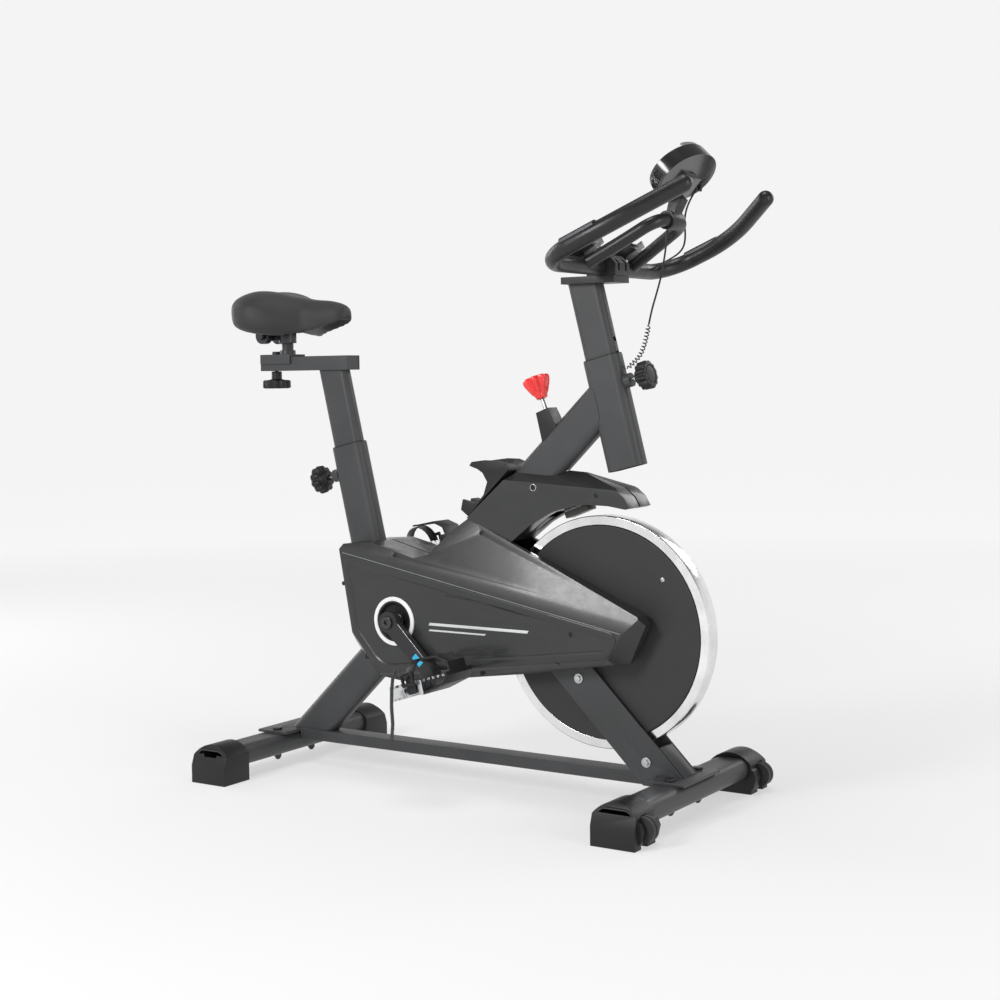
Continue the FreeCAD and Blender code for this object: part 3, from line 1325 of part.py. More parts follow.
def console_bracket():
    """Saddle on the inner loop's front with an arm up to the boss."""
    hook = ring_y(LOOP_RADIUS + 4.5, LOOP_RADIUS + 0.05, (396, 991), -20, 20)
    arm = prism([(392, 1002), (407, 1000), (420, 1024), (402, 1040)], -13, 13)
    return hook.fuse(arm).cut(rod_y(LOOP_RADIUS + 0.05, (396, 991), -60, 60)).cut(console_housing())


JACK_U = 40.0
JACK_V = -4.0


def jack_plug():
    """Moulded plug in the underside of the console, left of the boss."""
    p = console_place(JACK_U, JACK_V, -CONSOLE_THICK / 2)
    q = console_place(JACK_U, JACK_V, -CONSOLE_THICK / 2 - 8)
    r = console_place(JACK_U - 2, JACK_V - 8, -CONSOLE_THICK / 2 - 14)
    body = rod(6.5, (p.x, p.y, p.z), (q.x, q.y, q.z))
    tail = rod(3.5, (q.x, q.y, q.z), (r.x, r.y, r.z))
    return body.fuse(tail)


# ---------------------------------------------------------------------------------------------
# leads
# ---------------------------------------------------------------------------------------------
LEAD_RADIUS = 2.0
CURL_RADIUS = 4.5

SENSOR_ROUTE = [(419, 38, 1046), (410, 33, 1036), (397, 28, 1023), (383.5, 26, 1006.5), (374, 25, 984),
                (373, 24, 956), (370, 21, 928), (365, 18, 898), (358, 14, 870), (350, 12, 844), (343, 15.5, 822)]
CURL_ROUTE = [(343, 15.5, 822), (336, 19, 800), (328, 23, 782), (317, 24, 763), (300, 15, 748)]
PULSE_ROUTE = [(420, 44, 1046), (405, 53, 1032), (392, 60, 1014), (385, 67, 994), (384, 73, 973), (378, 80, 955),
               (362, 92, 944), (337, 110, 937), (309, 130, 931), (280, 147, 923)]


def sensor_lead():
    return pipe(SENSOR_ROUTE, LEAD_RADIUS, "sensor_lead")


def curly_lead():
    """One fat tube for the curl, let into the front of the handlebar sleeve."""
    return pipe(CURL_ROUTE, CURL_RADIUS, "curly_lead").cut(bar_sleeve_prism())


def pulse_lead():
    """Lead from the console to the left grip, where it enters the bar."""
    return pipe(PULSE_ROUTE, LEAD_RADIUS, "pulse_lead").cut(bar_pipe(BAR_RADIUS))


def strap_tail():
    """Flat webbing, 8 wide and 1.6 thick, hanging from the right buckle."""
    route = strap_tail_route()
    y = route[1][1]
    path = [V(x, y, z) for x, _, z in route]
    band = []
    for i, point in enumerate(path):
        before = path[max(i - 1, 0)]
        after = path[min(i + 1, len(path) - 1)]
        d = after - before
        d.normalize()
        band.append((point, V(-d.z, 0, d.x)))
    outline = [p + n * 0.8 for p, n in band] + [p - n * 0.8 for p, n in reversed(band)]
    outline.append(outline[0])
    return Part.Face(Part.makePolygon(outline)).extrude(V(0, -8, 0))


def main():
    os.makedirs(PARTS, exist_ok=True)
    both = (("right", -1), ("left", 1))
    # frame
    save("main_tube", main_tube())
    save("seat_sleeve", seat_sleeve())
    save("bar_sleeve", bar_sleeve())
    save("post_bushings", bushing(SEAT_TOP, SEAT_TILT, -1), bushing(BAR_TOP, BAR_TILT, 1))
    save("fork", fork_plate(-1), fork_plate(1), fork_spacer(-1), fork_spacer(1), *fork_web())
    save("axle_brackets", axle_bracket(-1), axle_bracket(1))
    save("bearings", flywheel_bearing(-1), flywheel_bearing(1), crank_bearing(-1), crank_bearing(1))
    save("base_tube", base_tube())
    save("saddle_plates", saddle_plate(REAR_X, 1), saddle_plate(FRONT_X, -1))
    save("stabilizers", stabilizer(REAR_X), stabilizer(FRONT_X))
    save("feet", *[foot(x, side, x > 0) for x in (REAR_X, FRONT_X) for _, side in both])
    save("bottom_bracket_shell", bottom_bracket_shell())
    save("drive_belt", drive_belt())
    cover = belt_cover()
    save("belt_cover_right", cover)
    save("belt_cover_left", mirror_y(cover))
    save("crank_rings", crank_ring(-1), crank_ring(1))
    half = brake_cover()
    save("brake_cover", half, mirror_y(half))
    save("bottle_holder", bottle_holder())
    save("tension_housing", tension_housing())
    save("fasteners", roller_pin(-1), roller_pin(1), *(stabilizer_bolts() + fork_bolts() + cover_screws()))
    for name, side in both:
        save("transport_wheel_" + name, roller(side))
    # flywheel
    save("flywheel_rim", flywheel_rim())
    save("flywheel_disc", flywheel_disc())
    save("flywheel_side_plates", flywheel_side_plate(-1), flywheel_side_plate(1), *flywheel_screws())
    save("flywheel_shaft", flywheel_shaft(), grooved_pulley(WHEEL_AXIS, SMALL_RADIUS, SHAFT_RADIUS))
    # cranks and pedals
    save("crank_spindle", crank_spindle(), crank_bolt(-1), crank_bolt(1), pedal_spindle(-1), pedal_spindle(1))
    save("drive_pulley", grooved_pulley(CRANK_AXIS, PULLEY_RADIUS, SHAFT_RADIUS))
    save("crank_arms", crank_arm(-1), crank_arm(1))
    for name, side in both:
        save("pedal_" + name, pedal_body(side))
        save("toe_cage_" + name, toe_cage(side), pedal_strap(side), strap_buckle(side))
    # brake
    save("tension_rod", tension_rod(), pad_holder(), brake_pad())
    save("tension_knob", tension_knob())
    # seat
    save("seat_post", seat_post())
    save("slider_tube", slider_tube(), slider_plug(SLIDER_REAR, SLIDER_REAR + 8),
         slider_plug(SLIDER_FRONT - 8, SLIDER_FRONT))
    save("slider_bracket", slider_bracket(), slider_bolt())
    save("slider_knob", slider_knob())
    save("saddle_clamp", saddle_clamp())
    save("saddle_rails", saddle_rail(-1), saddle_rail(1))
    save("saddle", saddle())
    save("seat_pin", pin(SEAT_TOP, SEAT_TILT, POST_DEEP / 2 + 0.3, 88.0, -1))
    save("seat_knob", star_knob(SEAT_TOP, SEAT_TILT, 62.0, 92.0, 27.0, 10, -1, 88.05))
    # handlebar
    save("bar_post", bar_post())
    save("bar_clamp", bar_mount_plate(), bar_clamp())
    save("handlebar", handlebar(), grip_plug(-1), grip_plug(1))
    save("inner_loop", inner_loop())
    save("pulse_sensors", pulse_sensor(-1), pulse_sensor(1))
    save("elbow_rests", *[piece for f in (elbow_shell, elbow_pad) for _, side in both for piece in f(side)])
    save("bar_pin", pin(BAR_TOP, BAR_TILT, POST_DEEP / 2 + 0.3, 80.0, 1))
    save("bar_knob", star_knob(BAR_TOP, BAR_TILT, 57.0, 84.0, 25.0, 10, 1, 80.05))
    # console
    save("console_housing", console_housing(), device_lip())
    save("console_screen", console_screen())
    save("console_button", console_button(0))
    save("console_bracket", console_bracket(), jack_plug())
    save("sensor_lead", sensor_lead())
    save("curly_lead", curly_lead())
    save("pulse_lead", pulse_lead())
    save("strap_tail", strap_tail())


if __name__ == "__main__":
    main()
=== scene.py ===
import json
import math

import bmesh
import bpy
from mathutils import Matrix, Vector


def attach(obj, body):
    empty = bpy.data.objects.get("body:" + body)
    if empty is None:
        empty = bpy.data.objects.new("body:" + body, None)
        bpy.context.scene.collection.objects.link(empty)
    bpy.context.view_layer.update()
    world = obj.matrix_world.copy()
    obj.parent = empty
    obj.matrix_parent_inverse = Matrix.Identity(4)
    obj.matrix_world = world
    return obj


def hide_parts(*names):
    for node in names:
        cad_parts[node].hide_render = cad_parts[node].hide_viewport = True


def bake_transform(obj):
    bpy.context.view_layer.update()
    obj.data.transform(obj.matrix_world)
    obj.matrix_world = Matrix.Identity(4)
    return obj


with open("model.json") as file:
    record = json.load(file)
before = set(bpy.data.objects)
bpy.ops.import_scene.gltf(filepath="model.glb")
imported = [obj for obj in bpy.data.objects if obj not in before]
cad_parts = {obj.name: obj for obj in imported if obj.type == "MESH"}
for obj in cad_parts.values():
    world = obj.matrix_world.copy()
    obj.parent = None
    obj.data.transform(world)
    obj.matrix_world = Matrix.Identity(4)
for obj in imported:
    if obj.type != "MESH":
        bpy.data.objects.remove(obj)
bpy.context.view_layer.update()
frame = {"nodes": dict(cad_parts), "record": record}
NODES = frame["nodes"]
scene = bpy.context.scene


def P(x, y, z):
    """A point given in millimetres, in the row frame."""
    return Vector((x, y, z)) * 0.001


# ---- camera -------------------------------------------------------------------------------------
CAM_AT = P(1714.7, -2538.8, 738.3)
CAM_TARGET = P(50.0, 0.0, 600.0)
CAM_ROLL = math.radians(-0.796)
CAM_LENS = 61.64
CAM_SHIFT_Y = -0.04596


def make_camera():
    forward = (CAM_TARGET - CAM_AT).normalized()
    right = forward.cross(Vector((0, 0, 1))).normalized()
    up = right.cross(forward)
    rolled_right = right * math.cos(CAM_ROLL) + up * math.sin(CAM_ROLL)
    rolled_up = up * math.cos(CAM_ROLL) - right * math.sin(CAM_ROLL)
    data = bpy.data.cameras.new("camera")
    data.lens = CAM_LENS
    data.sensor_width = 36.0
    data.shift_y = CAM_SHIFT_Y
    data.clip_end = 50.0
    camera = bpy.data.objects.new("camera", data)
    turn = Matrix((rolled_right, rolled_up, -forward)).transposed()
    camera.matrix_world = Matrix.Translation(CAM_AT) @ turn.to_4x4()
    scene.collection.objects.link(camera)
    scene.camera = camera


make_camera()


# ---- materials ----------------------------------------------------------------------------------
class Surface:
    """A Principled material whose detail comes from noise in object space."""

    def __init__(self, name, metallic=0.0, coat=0.0, coat_rough=0.1, specular=0.5, sheen=0.0):
        self.material = bpy.data.materials.new(name)
        self.material.use_nodes = True
        self.tree = self.material.node_tree
        self.tree.nodes.clear()
        out = self.tree.nodes.new("ShaderNodeOutputMaterial")
        self.shader = self.tree.nodes.new("ShaderNodeBsdfPrincipled")
        self.tree.links.new(self.shader.outputs["BSDF"], out.inputs["Surface"])
        self.shader.inputs["Metallic"].default_value = metallic
        self.shader.inputs["Coat Weight"].default_value = coat
        self.shader.inputs["Coat Roughness"].default_value = coat_rough
        self.shader.inputs["Specular IOR Level"].default_value = specular
        self.shader.inputs["Sheen Weight"].default_value = sheen
        self.where = self.tree.nodes.new("ShaderNodeTexCoord").outputs["Object"]
        self.normal = None

    def add(self, kind, **values):
        node = self.tree.nodes.new(kind)
        for key, value in values.items():
            setattr(node, key, value)
        return node

    def put(self, socket, value):
        if isinstance(value, bpy.types.NodeSocket):
            self.tree.links.new(value, socket)
        else:
            socket.default_value = value

    def stretched(self, scale):
        node = self.add("ShaderNodeMapping")
        self.put(node.inputs["Vector"], self.where)
        node.inputs["Scale"].default_value = scale
        return node.outputs["Vector"]

    def noise(self, scale, detail=3.0, rough=0.55, stretch=None):
        node = self.add("ShaderNodeTexNoise")
        self.put(node.inputs["Vector"], self.stretched(stretch) if stretch else self.where)
        node.inputs["Scale"].default_value = scale
        node.inputs["Detail"].default_value = detail
        node.inputs["Roughness"].default_value = rough
        return node.outputs["Fac"]

    def cells(self, scale, feature="F1", stretch=None):
        node = self.add("ShaderNodeTexVoronoi", feature=feature)
        self.put(node.inputs["Vector"], self.stretched(stretch) if stretch else self.where)
        node.inputs["Scale"].default_value = scale
        return node.outputs["Distance"]

    def waves(self, scale, direction="X", distortion=0.0, stretch=None):
        node = self.add("ShaderNodeTexWave", bands_direction=direction)
        self.put(node.inputs["Vector"], self.stretched(stretch) if stretch else self.where)
        node.inputs["Scale"].default_value = scale
        node.inputs["Distortion"].default_value = distortion
        return node.outputs["Fac"]

    def remap(self, value, low, high, a, b):
        node = self.add("ShaderNodeMapRange")
        self.put(node.inputs["Value"], value)
        node.inputs["From Min"].default_value = low
        node.inputs["From Max"].default_value = high
        node.inputs["To Min"].default_value = a
        node.inputs["To Max"].default_value = b
        return node.outputs["Result"]

    def maths(self, operation, a, b=0.0):
        node = self.add("ShaderNodeMath", operation=operation)
        self.put(node.inputs[0], a)
        self.put(node.inputs[1], b)
        return node.outputs[0]

    def mix(self, factor, a, b):
        node = self.add("ShaderNodeMix", data_type="RGBA")
        self.put(node.inputs["Factor"], factor)
        self.put(node.inputs[6], a if isinstance(a, bpy.types.NodeSocket) else (*a, 1.0))
        self.put(node.inputs[7], b if isinstance(b, bpy.types.NodeSocket) else (*b, 1.0))
        return node.outputs[2]

    def rounded(self, radius):
        """Softens the look of hard edges; gives the rounded normal."""
        node = self.add("ShaderNodeBevel", samples=4)
        node.inputs["Radius"].default_value = radius
        self.normal = node.outputs["Normal"]
        return self.normal

    def edge(self):
        """Near 1 on hard edges, 0 on flats."""
        plain = self.add("ShaderNodeNewGeometry").outputs["Normal"]
        dot = self.add("ShaderNodeVectorMath", operation="DOT_PRODUCT")
        self.put(dot.inputs[0], self.normal)
        self.put(dot.inputs[1], plain)
        return self.remap(dot.outputs["Value"], 0.99, 0.90, 0.0, 1.0)

    def bump(self, height, distance, strength=1.0):
        node = self.add("ShaderNodeBump")
        node.inputs["Strength"].default_value = strength
        node.inputs["Distance"].default_value = distance
        self.put(node.inputs["Height"], height)
        if self.normal is not None:
            self.put(node.inputs["Normal"], self.normal)
        self.normal = node.outputs["Normal"]

    def finish(self, color, rough):
        self.put(self.shader.inputs["Base Color"], color)
        self.put(self.shader.inputs["Roughness"], rough)
        if self.normal is not None:
            self.put(self.shader.inputs["Normal"], self.normal)
        return self.material


def shade(color, factor):
    return tuple(min(1.0, c * factor) for c in color)


def paint(name, color, rough=0.42, coat=0.0, peel=0.00012, edge_radius=0.0012, metallic=0.0, specular=0.32):
    """Powder coat: fine orange peel, faint mottling; paler edges, part painted highlight, part rubbed wear.
    """
    s = Surface(name, metallic=metallic, coat=coat, coat_rough=0.25, specular=specular)
    s.rounded(edge_radius)
    edge = s.edge()
    mottle = s.noise(9.0, detail=5.0)
    speck = s.noise(1400.0, detail=2.0)
    base = s.mix(s.remap(mottle, 0.3, 0.7, 0.0, 1.0), shade(color, 0.88), shade(color, 1.12))
    # Painted highlight with a rubbed look: hard edges painted paler in specks.
    base = s.mix(s.maths("MULTIPLY", edge, s.remap(speck, 0.35, 0.75, 0.15, 0.7)), base, shade(color, 2.2))
    s.bump(s.noise(520.0, detail=3.0), peel * 2.0, 0.5)
    s.bump(speck, peel, 0.5)
    level = s.remap(mottle, 0.3, 0.7, rough - 0.04, rough + 0.05)
    return s.finish(base, level)


def plastic(name, color, rough=0.45, coat=0.0, grain=0.00008, grain_scale=1100.0, edge_radius=0.0008,
            specular=0.5):
    """Moulded plastic: eroded texture, faint flow marks, and a painted highlight that makes edges paler."""
    s = Surface(name, coat=coat, coat_rough=0.12, specular=specular)
    s.rounded(edge_radius)
    edge = s.edge()
    flow = s.noise(14.0, detail=6.0, stretch=(1.0, 1.0, 2.6))
    fine = s.noise(grain_scale, detail=2.0)
    base = s.mix(s.remap(flow, 0.3, 0.7, 0.0, 1.0), shade(color, 0.9), shade(color, 1.1))
    # Painted highlight: hard edges painted paler.
    base = s.mix(s.maths("MULTIPLY", edge, 0.35), base, shade(color, 1.9))
    s.bump(fine, grain, 0.6)
    scuff = s.noise(60.0, detail=8.0, rough=0.7, stretch=(1.0, 3.0, 1.0))
    level = s.remap(scuff, 0.35, 0.7, rough - 0.05, rough + 0.07)
    return s.finish(base, level)


def metal(name, color, rough=0.25, brush=(1.0, 1.0, 1.0), scale=300.0, depth=0.00003, edge_radius=0.0006,
          metallic=1.0):
    """Bare or plated metal with tool marks along one direction."""
    s = Surface(name, metallic=metallic)
    s.rounded(edge_radius)
    marks = s.noise(scale, detail=4.0, stretch=brush)
    cloud = s.noise(22.0, detail=5.0)
    base = s.mix(s.remap(cloud, 0.3, 0.7, 0.0, 1.0), shade(color, 0.86), shade(color, 1.06))
    s.bump(marks, depth, 0.7)
    level = s.remap(marks, 0.3, 0.7, max(0.04, rough - 0.08), rough + 0.08)
    return s.finish(base, level)


def rubber(name, color, rough=0.7, ribs=None, depth=0.0002):
    s = Surface(name, sheen=0.15, specular=0.35)
    s.rounded(0.001)
    dust = s.noise(35.0, detail=6.0)
    base = s.mix(s.remap(dust, 0.4, 0.75, 0.0, 1.0), color, shade(color, 1.7))
    s.bump(s.noise(900.0, detail=3.0), 0.00012, 0.7)
    if ribs:
        s.bump(s.waves(ribs[0], ribs[1]), depth, 0.8)
    return s.finish(base, s.remap(dust, 0.3, 0.7, rough - 0.06, rough + 0.06))


def foam(name, color):
    """Dense foam sleeve: open fine pores and soft pressed patches."""
    s = Surface(name, sheen=0.05, specular=0.45)
    pores = s.cells(1500.0)
    press = s.noise(45.0, detail=4.0)
    base = s.mix(s.remap(pores, 0.1, 0.6, 0.0, 1.0), shade(color, 0.75), shade(color, 1.25))
    s.bump(press, 0.0006, 0.5)
    s.bump(pores, 0.00005, 0.4)
    return s.finish(base, s.remap(press, 0.3, 0.7, 0.32, 0.44))


def vinyl(name, color):
    """Grained synthetic leather."""
    s = Surface(name, sheen=0.1, specular=0.45)
    grain = s.cells(620.0, feature="DISTANCE_TO_EDGE")
    wrinkle = s.noise(110.0, detail=6.0, rough=0.6)
    worn = s.noise(12.0, detail=4.0)
    base = s.mix(s.remap(worn, 0.3, 0.7, 0.0, 1.0), shade(color, 0.85), shade(color, 1.2))
    s.bump(wrinkle, 0.0004, 0.35)
    s.bump(s.remap(grain, 0.0, 0.12, 0.0, 1.0), 0.00016, 0.55)
    return s.finish(base, s.remap(worn, 0.3, 0.7, 0.5, 0.62))


def webbing(name, color):
    """Woven strap: crossing ribs of two threads."""
    s = Surface(name, sheen=0.35, specular=0.25)
    warp = s.waves(900.0, "Z", stretch=(1.0, 1.0, 1.0))
    weft = s.waves(700.0, "Y", stretch=(1.0, 1.0, 1.0))
    weave = s.maths("MULTIPLY", warp, weft)
    fuzz = s.noise(400.0, detail=6.0)
    base = s.mix(weave, shade(color, 0.6), shade(color, 1.5))
    s.bump(weave, 0.0004, 0.8)
    s.bump(fuzz, 0.0002, 0.4)
    return s.finish(base, s.remap(fuzz, 0.3, 0.7, 0.75, 0.9))


CHARCOAL = (0.048, 0.049, 0.051)
M = {
    "frame": paint("frame_paint", CHARCOAL, rough=0.40),
    "dark_paint": paint("dark_paint", (0.022, 0.022, 0.024), rough=0.38),
    "cover": plastic("cover_plastic", (0.021, 0.0215, 0.0225), rough=0.33, coat=0.25, grain=0.00003,
                     specular=0.4),
    "graphite": plastic("graphite_plastic", (0.020, 0.020, 0.021), rough=0.40, specular=0.4),
    "felt": foam("brake_felt", (0.030, 0.028, 0.026)),
    "black": plastic("black_plastic", (0.011, 0.011, 0.012), rough=0.42, specular=0.35),
    "gloss": plastic("gloss_plastic", (0.012, 0.012, 0.013), rough=0.22, coat=0.5, grain=0.00002),
    "grey": plastic("grey_plastic", (0.20, 0.205, 0.21), rough=0.42),
    "pale": plastic("pale_plastic", (0.62, 0.63, 0.64), rough=0.35, coat=0.2),
    "white": plastic("white_plastic", (0.82, 0.82, 0.82), rough=0.32, coat=0.3, grain=0.00003),
    "red": plastic("red_plastic", (0.78, 0.022, 0.022), rough=0.30, coat=0.4, grain=0.00003),
    "cyan": plastic("cyan_label", (0.01, 0.42, 0.72), rough=0.35, coat=0.3, grain=0.00002),
    "steel": metal("zinc_steel", (0.52, 0.53, 0.54), rough=0.30, scale=420.0),
    "dark_steel": metal("dark_steel", (0.07, 0.07, 0.075), rough=0.36, scale=420.0),
    "alloy": metal("cast_alloy", (0.66, 0.67, 0.68), rough=0.34, scale=240.0, depth=0.00008),
    "chrome": metal("rim_chrome", (0.80, 0.80, 0.81), rough=0.17, scale=90.0, depth=0.00001),
    "disc": paint("disc_paint", (0.030, 0.030, 0.031), rough=0.55, peel=0.00016),
    "rubber": rubber("tread_rubber", (0.02, 0.02, 0.02)),
    "belt": rubber("belt_rubber", (0.02, 0.02, 0.02), ribs=(280.0, "Y")),
    "foam": foam("grip_foam", (0.006, 0.006, 0.0065)),
    "vinyl": vinyl("saddle_vinyl", (0.014, 0.014, 0.015)),
    "webbing": webbing("strap_webbing", (0.022, 0.022, 0.022)),
    "cable": rubber("cable_sheath", (0.006, 0.006, 0.006), rough=0.5),
    "screen": plastic("screen_window", (0.075, 0.085, 0.080), rough=0.12, coat=0.8, grain=0.00001),
    "hole": plastic("screw_pocket", (0.003, 0.003, 0.003), rough=0.6),
}

# Every CAD node's material; the nodes that a finer piece replaces are listed too.
NODE_MATERIAL = {
    "main_tube": "frame", "seat_sleeve": "frame", "bar_sleeve": "frame", "post_bushings": "black",
    "fork": "frame", "axle_brackets": "frame", "bearings": "steel", "base_tube": "frame",
    "saddle_plates": "frame", "stabilizers": "frame", "feet": "black", "bottom_bracket_shell": "dark_steel",
    "drive_belt": "belt", "belt_cover_right": "cover", "belt_cover_left": "cover", "crank_rings": "white",
    "brake_cover": "cover", "bottle_holder": "black", "tension_housing": "black", "fasteners": "dark_steel",
    "transport_wheel_right": "rubber", "transport_wheel_left": "rubber", "flywheel_rim": "chrome",
    "flywheel_disc": "disc", "flywheel_side_plates": "disc", "flywheel_shaft": "steel",
    "crank_spindle": "dark_steel", "drive_pulley": "alloy", "crank_arms": "dark_paint",
    "pedal_right": "alloy", "pedal_left": "alloy",
    "toe_cage_right": "black", "toe_cage_left": "black", "strap_tail": "webbing",
    "tension_rod": "steel", "tension_knob": "red", "seat_post": "frame", "slider_tube": "frame",
    "slider_bracket": "frame", "slider_knob": "black", "saddle_clamp": "dark_steel",
    "saddle_rails": "dark_steel", "saddle": "vinyl", "seat_pin": "steel", "seat_knob": "black",
    "bar_post": "frame", "bar_clamp": "graphite", "handlebar": "foam", "inner_loop": "foam",
    "pulse_sensors": "dark_steel", "elbow_rests": "graphite", "bar_pin": "steel", "bar_knob": "black",
    "console_housing": "gloss", "console_screen": "screen", "console_button": "grey",
    "console_bracket": "black", "sensor_lead": "cable", "curly_lead": "cable", "pulse_lead": "cable",
}
SLOT = {n["node"]: n["material_slot"] for n in frame["record"]["subparts"]}
for node_name, key in NODE_MATERIAL.items():
    mesh = NODES[node_name].data
    mesh.materials.clear()
    mesh.materials.append(M[key])


# ---- building helpers ---------------------------------------------------------------------------
def link(name, mesh, material, smooth_angle=None):
    obj = bpy.data.objects.new(name, mesh)
    scene.collection.objects.link(obj)
    mesh.materials.clear()
    mesh.materials.append(M[material])
    if smooth_angle is not None:
        mesh.shade_smooth()
        mesh.set_sharp_from_angle(angle=math.radians(smooth_angle))
    return obj


def from_bmesh(name, bm, material, smooth_angle=35.0):
    bmesh.ops.recalc_face_normals(bm, faces=bm.faces)
    mesh = bpy.data.meshes.new(name)
    bm.to_mesh(mesh)
    bm.free()
    return link(name, mesh, material, smooth_angle)


def baked(obj):
    """The object's mesh with its modifiers applied."""
    graph = bpy.context.evaluated_depsgraph_get()
    mesh = bpy.data.meshes.new_from_object(obj.evaluated_get(graph))
    obj.modifiers.clear()
    obj.data = mesh
    return obj


def aimed(origin, axis):
    """Matrix that takes local Z to axis at origin."""
    turn = Vector(axis).to_track_quat("Z", "Y").to_matrix().to_4x4()
    return Matrix.Translation(origin) @ turn


def turned(name, origin, axis, profile, material, segments=96, flutes=0, depth=0.0, power=2.0, squash=1.0,
           smooth_angle=35.0):
    """A solid of revolution: profile rows are (height, radius, share of the flute depth), in millimetres."""
    bm = bmesh.new()
    rings = []
    for row in profile:
        height, radius = row[0], row[1]
        share = row[2] if len(row) > 2 else 0.0
        if radius < 1e-6:
            rings.append([bm.verts.new((0, 0, height * 0.001))])
            continue
        ring = []
        for i in range(segments):
            angle = 2 * math.pi * i / segments
            wave = (0.5 + 0.5 * math.cos(flutes * angle)) ** power if flutes else 0.0
            r = (radius - depth * share * wave) * 0.001
            ring.append(bm.verts.new((r * math.cos(angle), r * squash * math.sin(angle), height * 0.001)))
        rings.append(ring)
    for a, b in zip(rings, rings[1:]):
        for i in range(segments):
            j = (i + 1) % segments
            if len(a) == 1 and len(b) == 1:
                continue
            if len(a) == 1:
                bm.faces.new((a[0], b[i], b[j]))
            elif len(b) == 1:
                bm.faces.new((a[i], b[0], a[j]))
            else:
                bm.faces.new((a[i], b[i], b[j], a[j]))
    bm.transform(aimed(origin, axis))
    return from_bmesh(name, bm, material, smooth_angle)


def softened(node, width, segments=2, angle=28.0, material=None, name=None):
    """A CAD node's shape with real rounded edges, as a new piece."""
    bm = bmesh.new()
    bm.from_mesh(NODES[node].data)
    bmesh.ops.remove_doubles(bm, verts=bm.verts, dist=1e-6)
    bmesh.ops.dissolve_limit(bm, angle_limit=math.radians(0.6), verts=bm.verts, edges=bm.edges)
    hard = [e for e in bm.edges if len(e.link_faces) == 2 and e.calc_face_angle(0.0) > math.radians(angle)]
    bmesh.ops.bevel(bm, geom=hard, offset=width * 0.001, segments=segments, profile=0.6, affect="EDGES",
                    clamp_overlap=True)
    obj = from_bmesh(name or node + "_detailed", bm, material or NODE_MATERIAL[node], 32.0)
    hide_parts(node)
    return obj


def slab(name, points, thickness, normal, material, bevel=0.3):
    """A thin plate: outline points (metres) in a plane, raised along normal by thickness millimetres."""
    bm = bmesh.new()
    verts = [bm.verts.new(p) for p in points]
    face = bm.faces.new(verts)
    lift = Vector(normal).normalized() * thickness * 0.001
    out = bmesh.ops.extrude_face_region(bm, geom=[face])
    for v in out["geom"]:
        if isinstance(v, bmesh.types.BMVert):
            v.co += lift
    bmesh.ops.recalc_face_normals(bm, faces=bm.faces)
    if bevel:
        edges = [e for e in bm.edges if len(e.link_faces) == 2 and e.calc_face_angle(0.0) > 0.9]
        bmesh.ops.bevel(bm, geom=edges, offset=bevel * 0.001, segments=2, profile=0.6, affect="EDGES",
                        clamp_overlap=True)
    return from_bmesh(name, bm, material)


def block(name, origin, ax, ay, az, size, material, bevel=0.6, segments=2):
    """A rounded box centred on origin, size in millimetres along its three directions."""
    bm = bmesh.new()
    bmesh.ops.create_cube(bm, size=1.0)
    rows = Matrix((Vector(ax).normalized() * size[0] * 0.001, Vector(ay).normalized() * size[1] * 0.001,
                   Vector(az).normalized() * size[2] * 0.001)).transposed()
    bm.transform(Matrix.Translation(origin) @ rows.to_4x4())
    if bevel:
        bmesh.ops.bevel(bm, geom=list(bm.edges), offset=bevel * 0.001, segments=segments, profile=0.6,
                        affect="EDGES", clamp_overlap=True)
    return from_bmesh(name, bm, material)


def spline(name, points, radius, material, resolution=10):
    """A round cord along a NURBS line with these control points, in metres."""
    data = bpy.data.curves.new(name, "CURVE")
    data.dimensions = "3D"
    line = data.splines.new("NURBS")
    line.points.add(len(points) - 1)
    for target, p in zip(line.points, points):
        target.co = (p[0], p[1], p[2], 1.0)
    line.order_u = 3
    line.use_endpoint_u = True
    line.resolution_u = resolution
    data.bevel_depth = radius
    data.bevel_resolution = 4
    data.use_fill_caps = True
    data.materials.append(M[material])
    obj = bpy.data.objects.new(name, data)
    scene.collection.objects.link(obj)
    return obj


def spline_points(points):
    """Points along the NURBS line of these control points."""
    obj = spline("probe", points, 0.0, "cable", resolution=24)
    bpy.context.view_layer.update()
    graph = bpy.context.evaluated_depsgraph_get()
    mesh = bpy.data.meshes.new_from_object(obj.evaluated_get(graph))
    found = [v.co.copy() for v in mesh.vertices]
    bpy.data.objects.remove(obj)
    bpy.data.meshes.remove(mesh)
    return found


def length_of(points):
    return sum((b - a).length for a, b in zip(points, points[1:]))


def swept(name, points, radius, material, profile_res=5, resolution=10):
    """A tube along a smooth line, as a mesh."""
    obj = spline(name, points, radius, material, resolution)
    obj.data.bevel_resolution = profile_res
    bpy.context.view_layer.update()
    graph = bpy.context.evaluated_depsgraph_get()
    mesh = bpy.data.meshes.new_from_object(obj.evaluated_get(graph))
    bpy.data.objects.remove(obj)
    mesh.name = name
    return link(name, mesh, material, 40.0)


def place(obj, body, slot=None, node=None):
    """Ride on a body and, when it stands for a CAD node, replace it; the slot is not used."""
    if node:
        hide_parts(node)
        slot = slot or SLOT[node]
    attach(obj, body)
    return obj


def recoloured(obj, material, test):
    """Give the faces whose centre passes the test (in millimetres) another material."""
    obj.data.materials.append(M[material])
    index = len(obj.data.materials) - 1
    for polygon in obj.data.polygons:
        if test(polygon.center * 1000.0):
            polygon.material_index = index
    return obj


def joined(name, objects, material, smooth_angle=35.0):
    """Several pieces merged into one."""
    bm = bmesh.new()
    for obj in objects:
        bm.from_mesh(obj.data)
        bpy.data.objects.remove(obj)
    return from_bmesh(name, bm, material, smooth_angle)


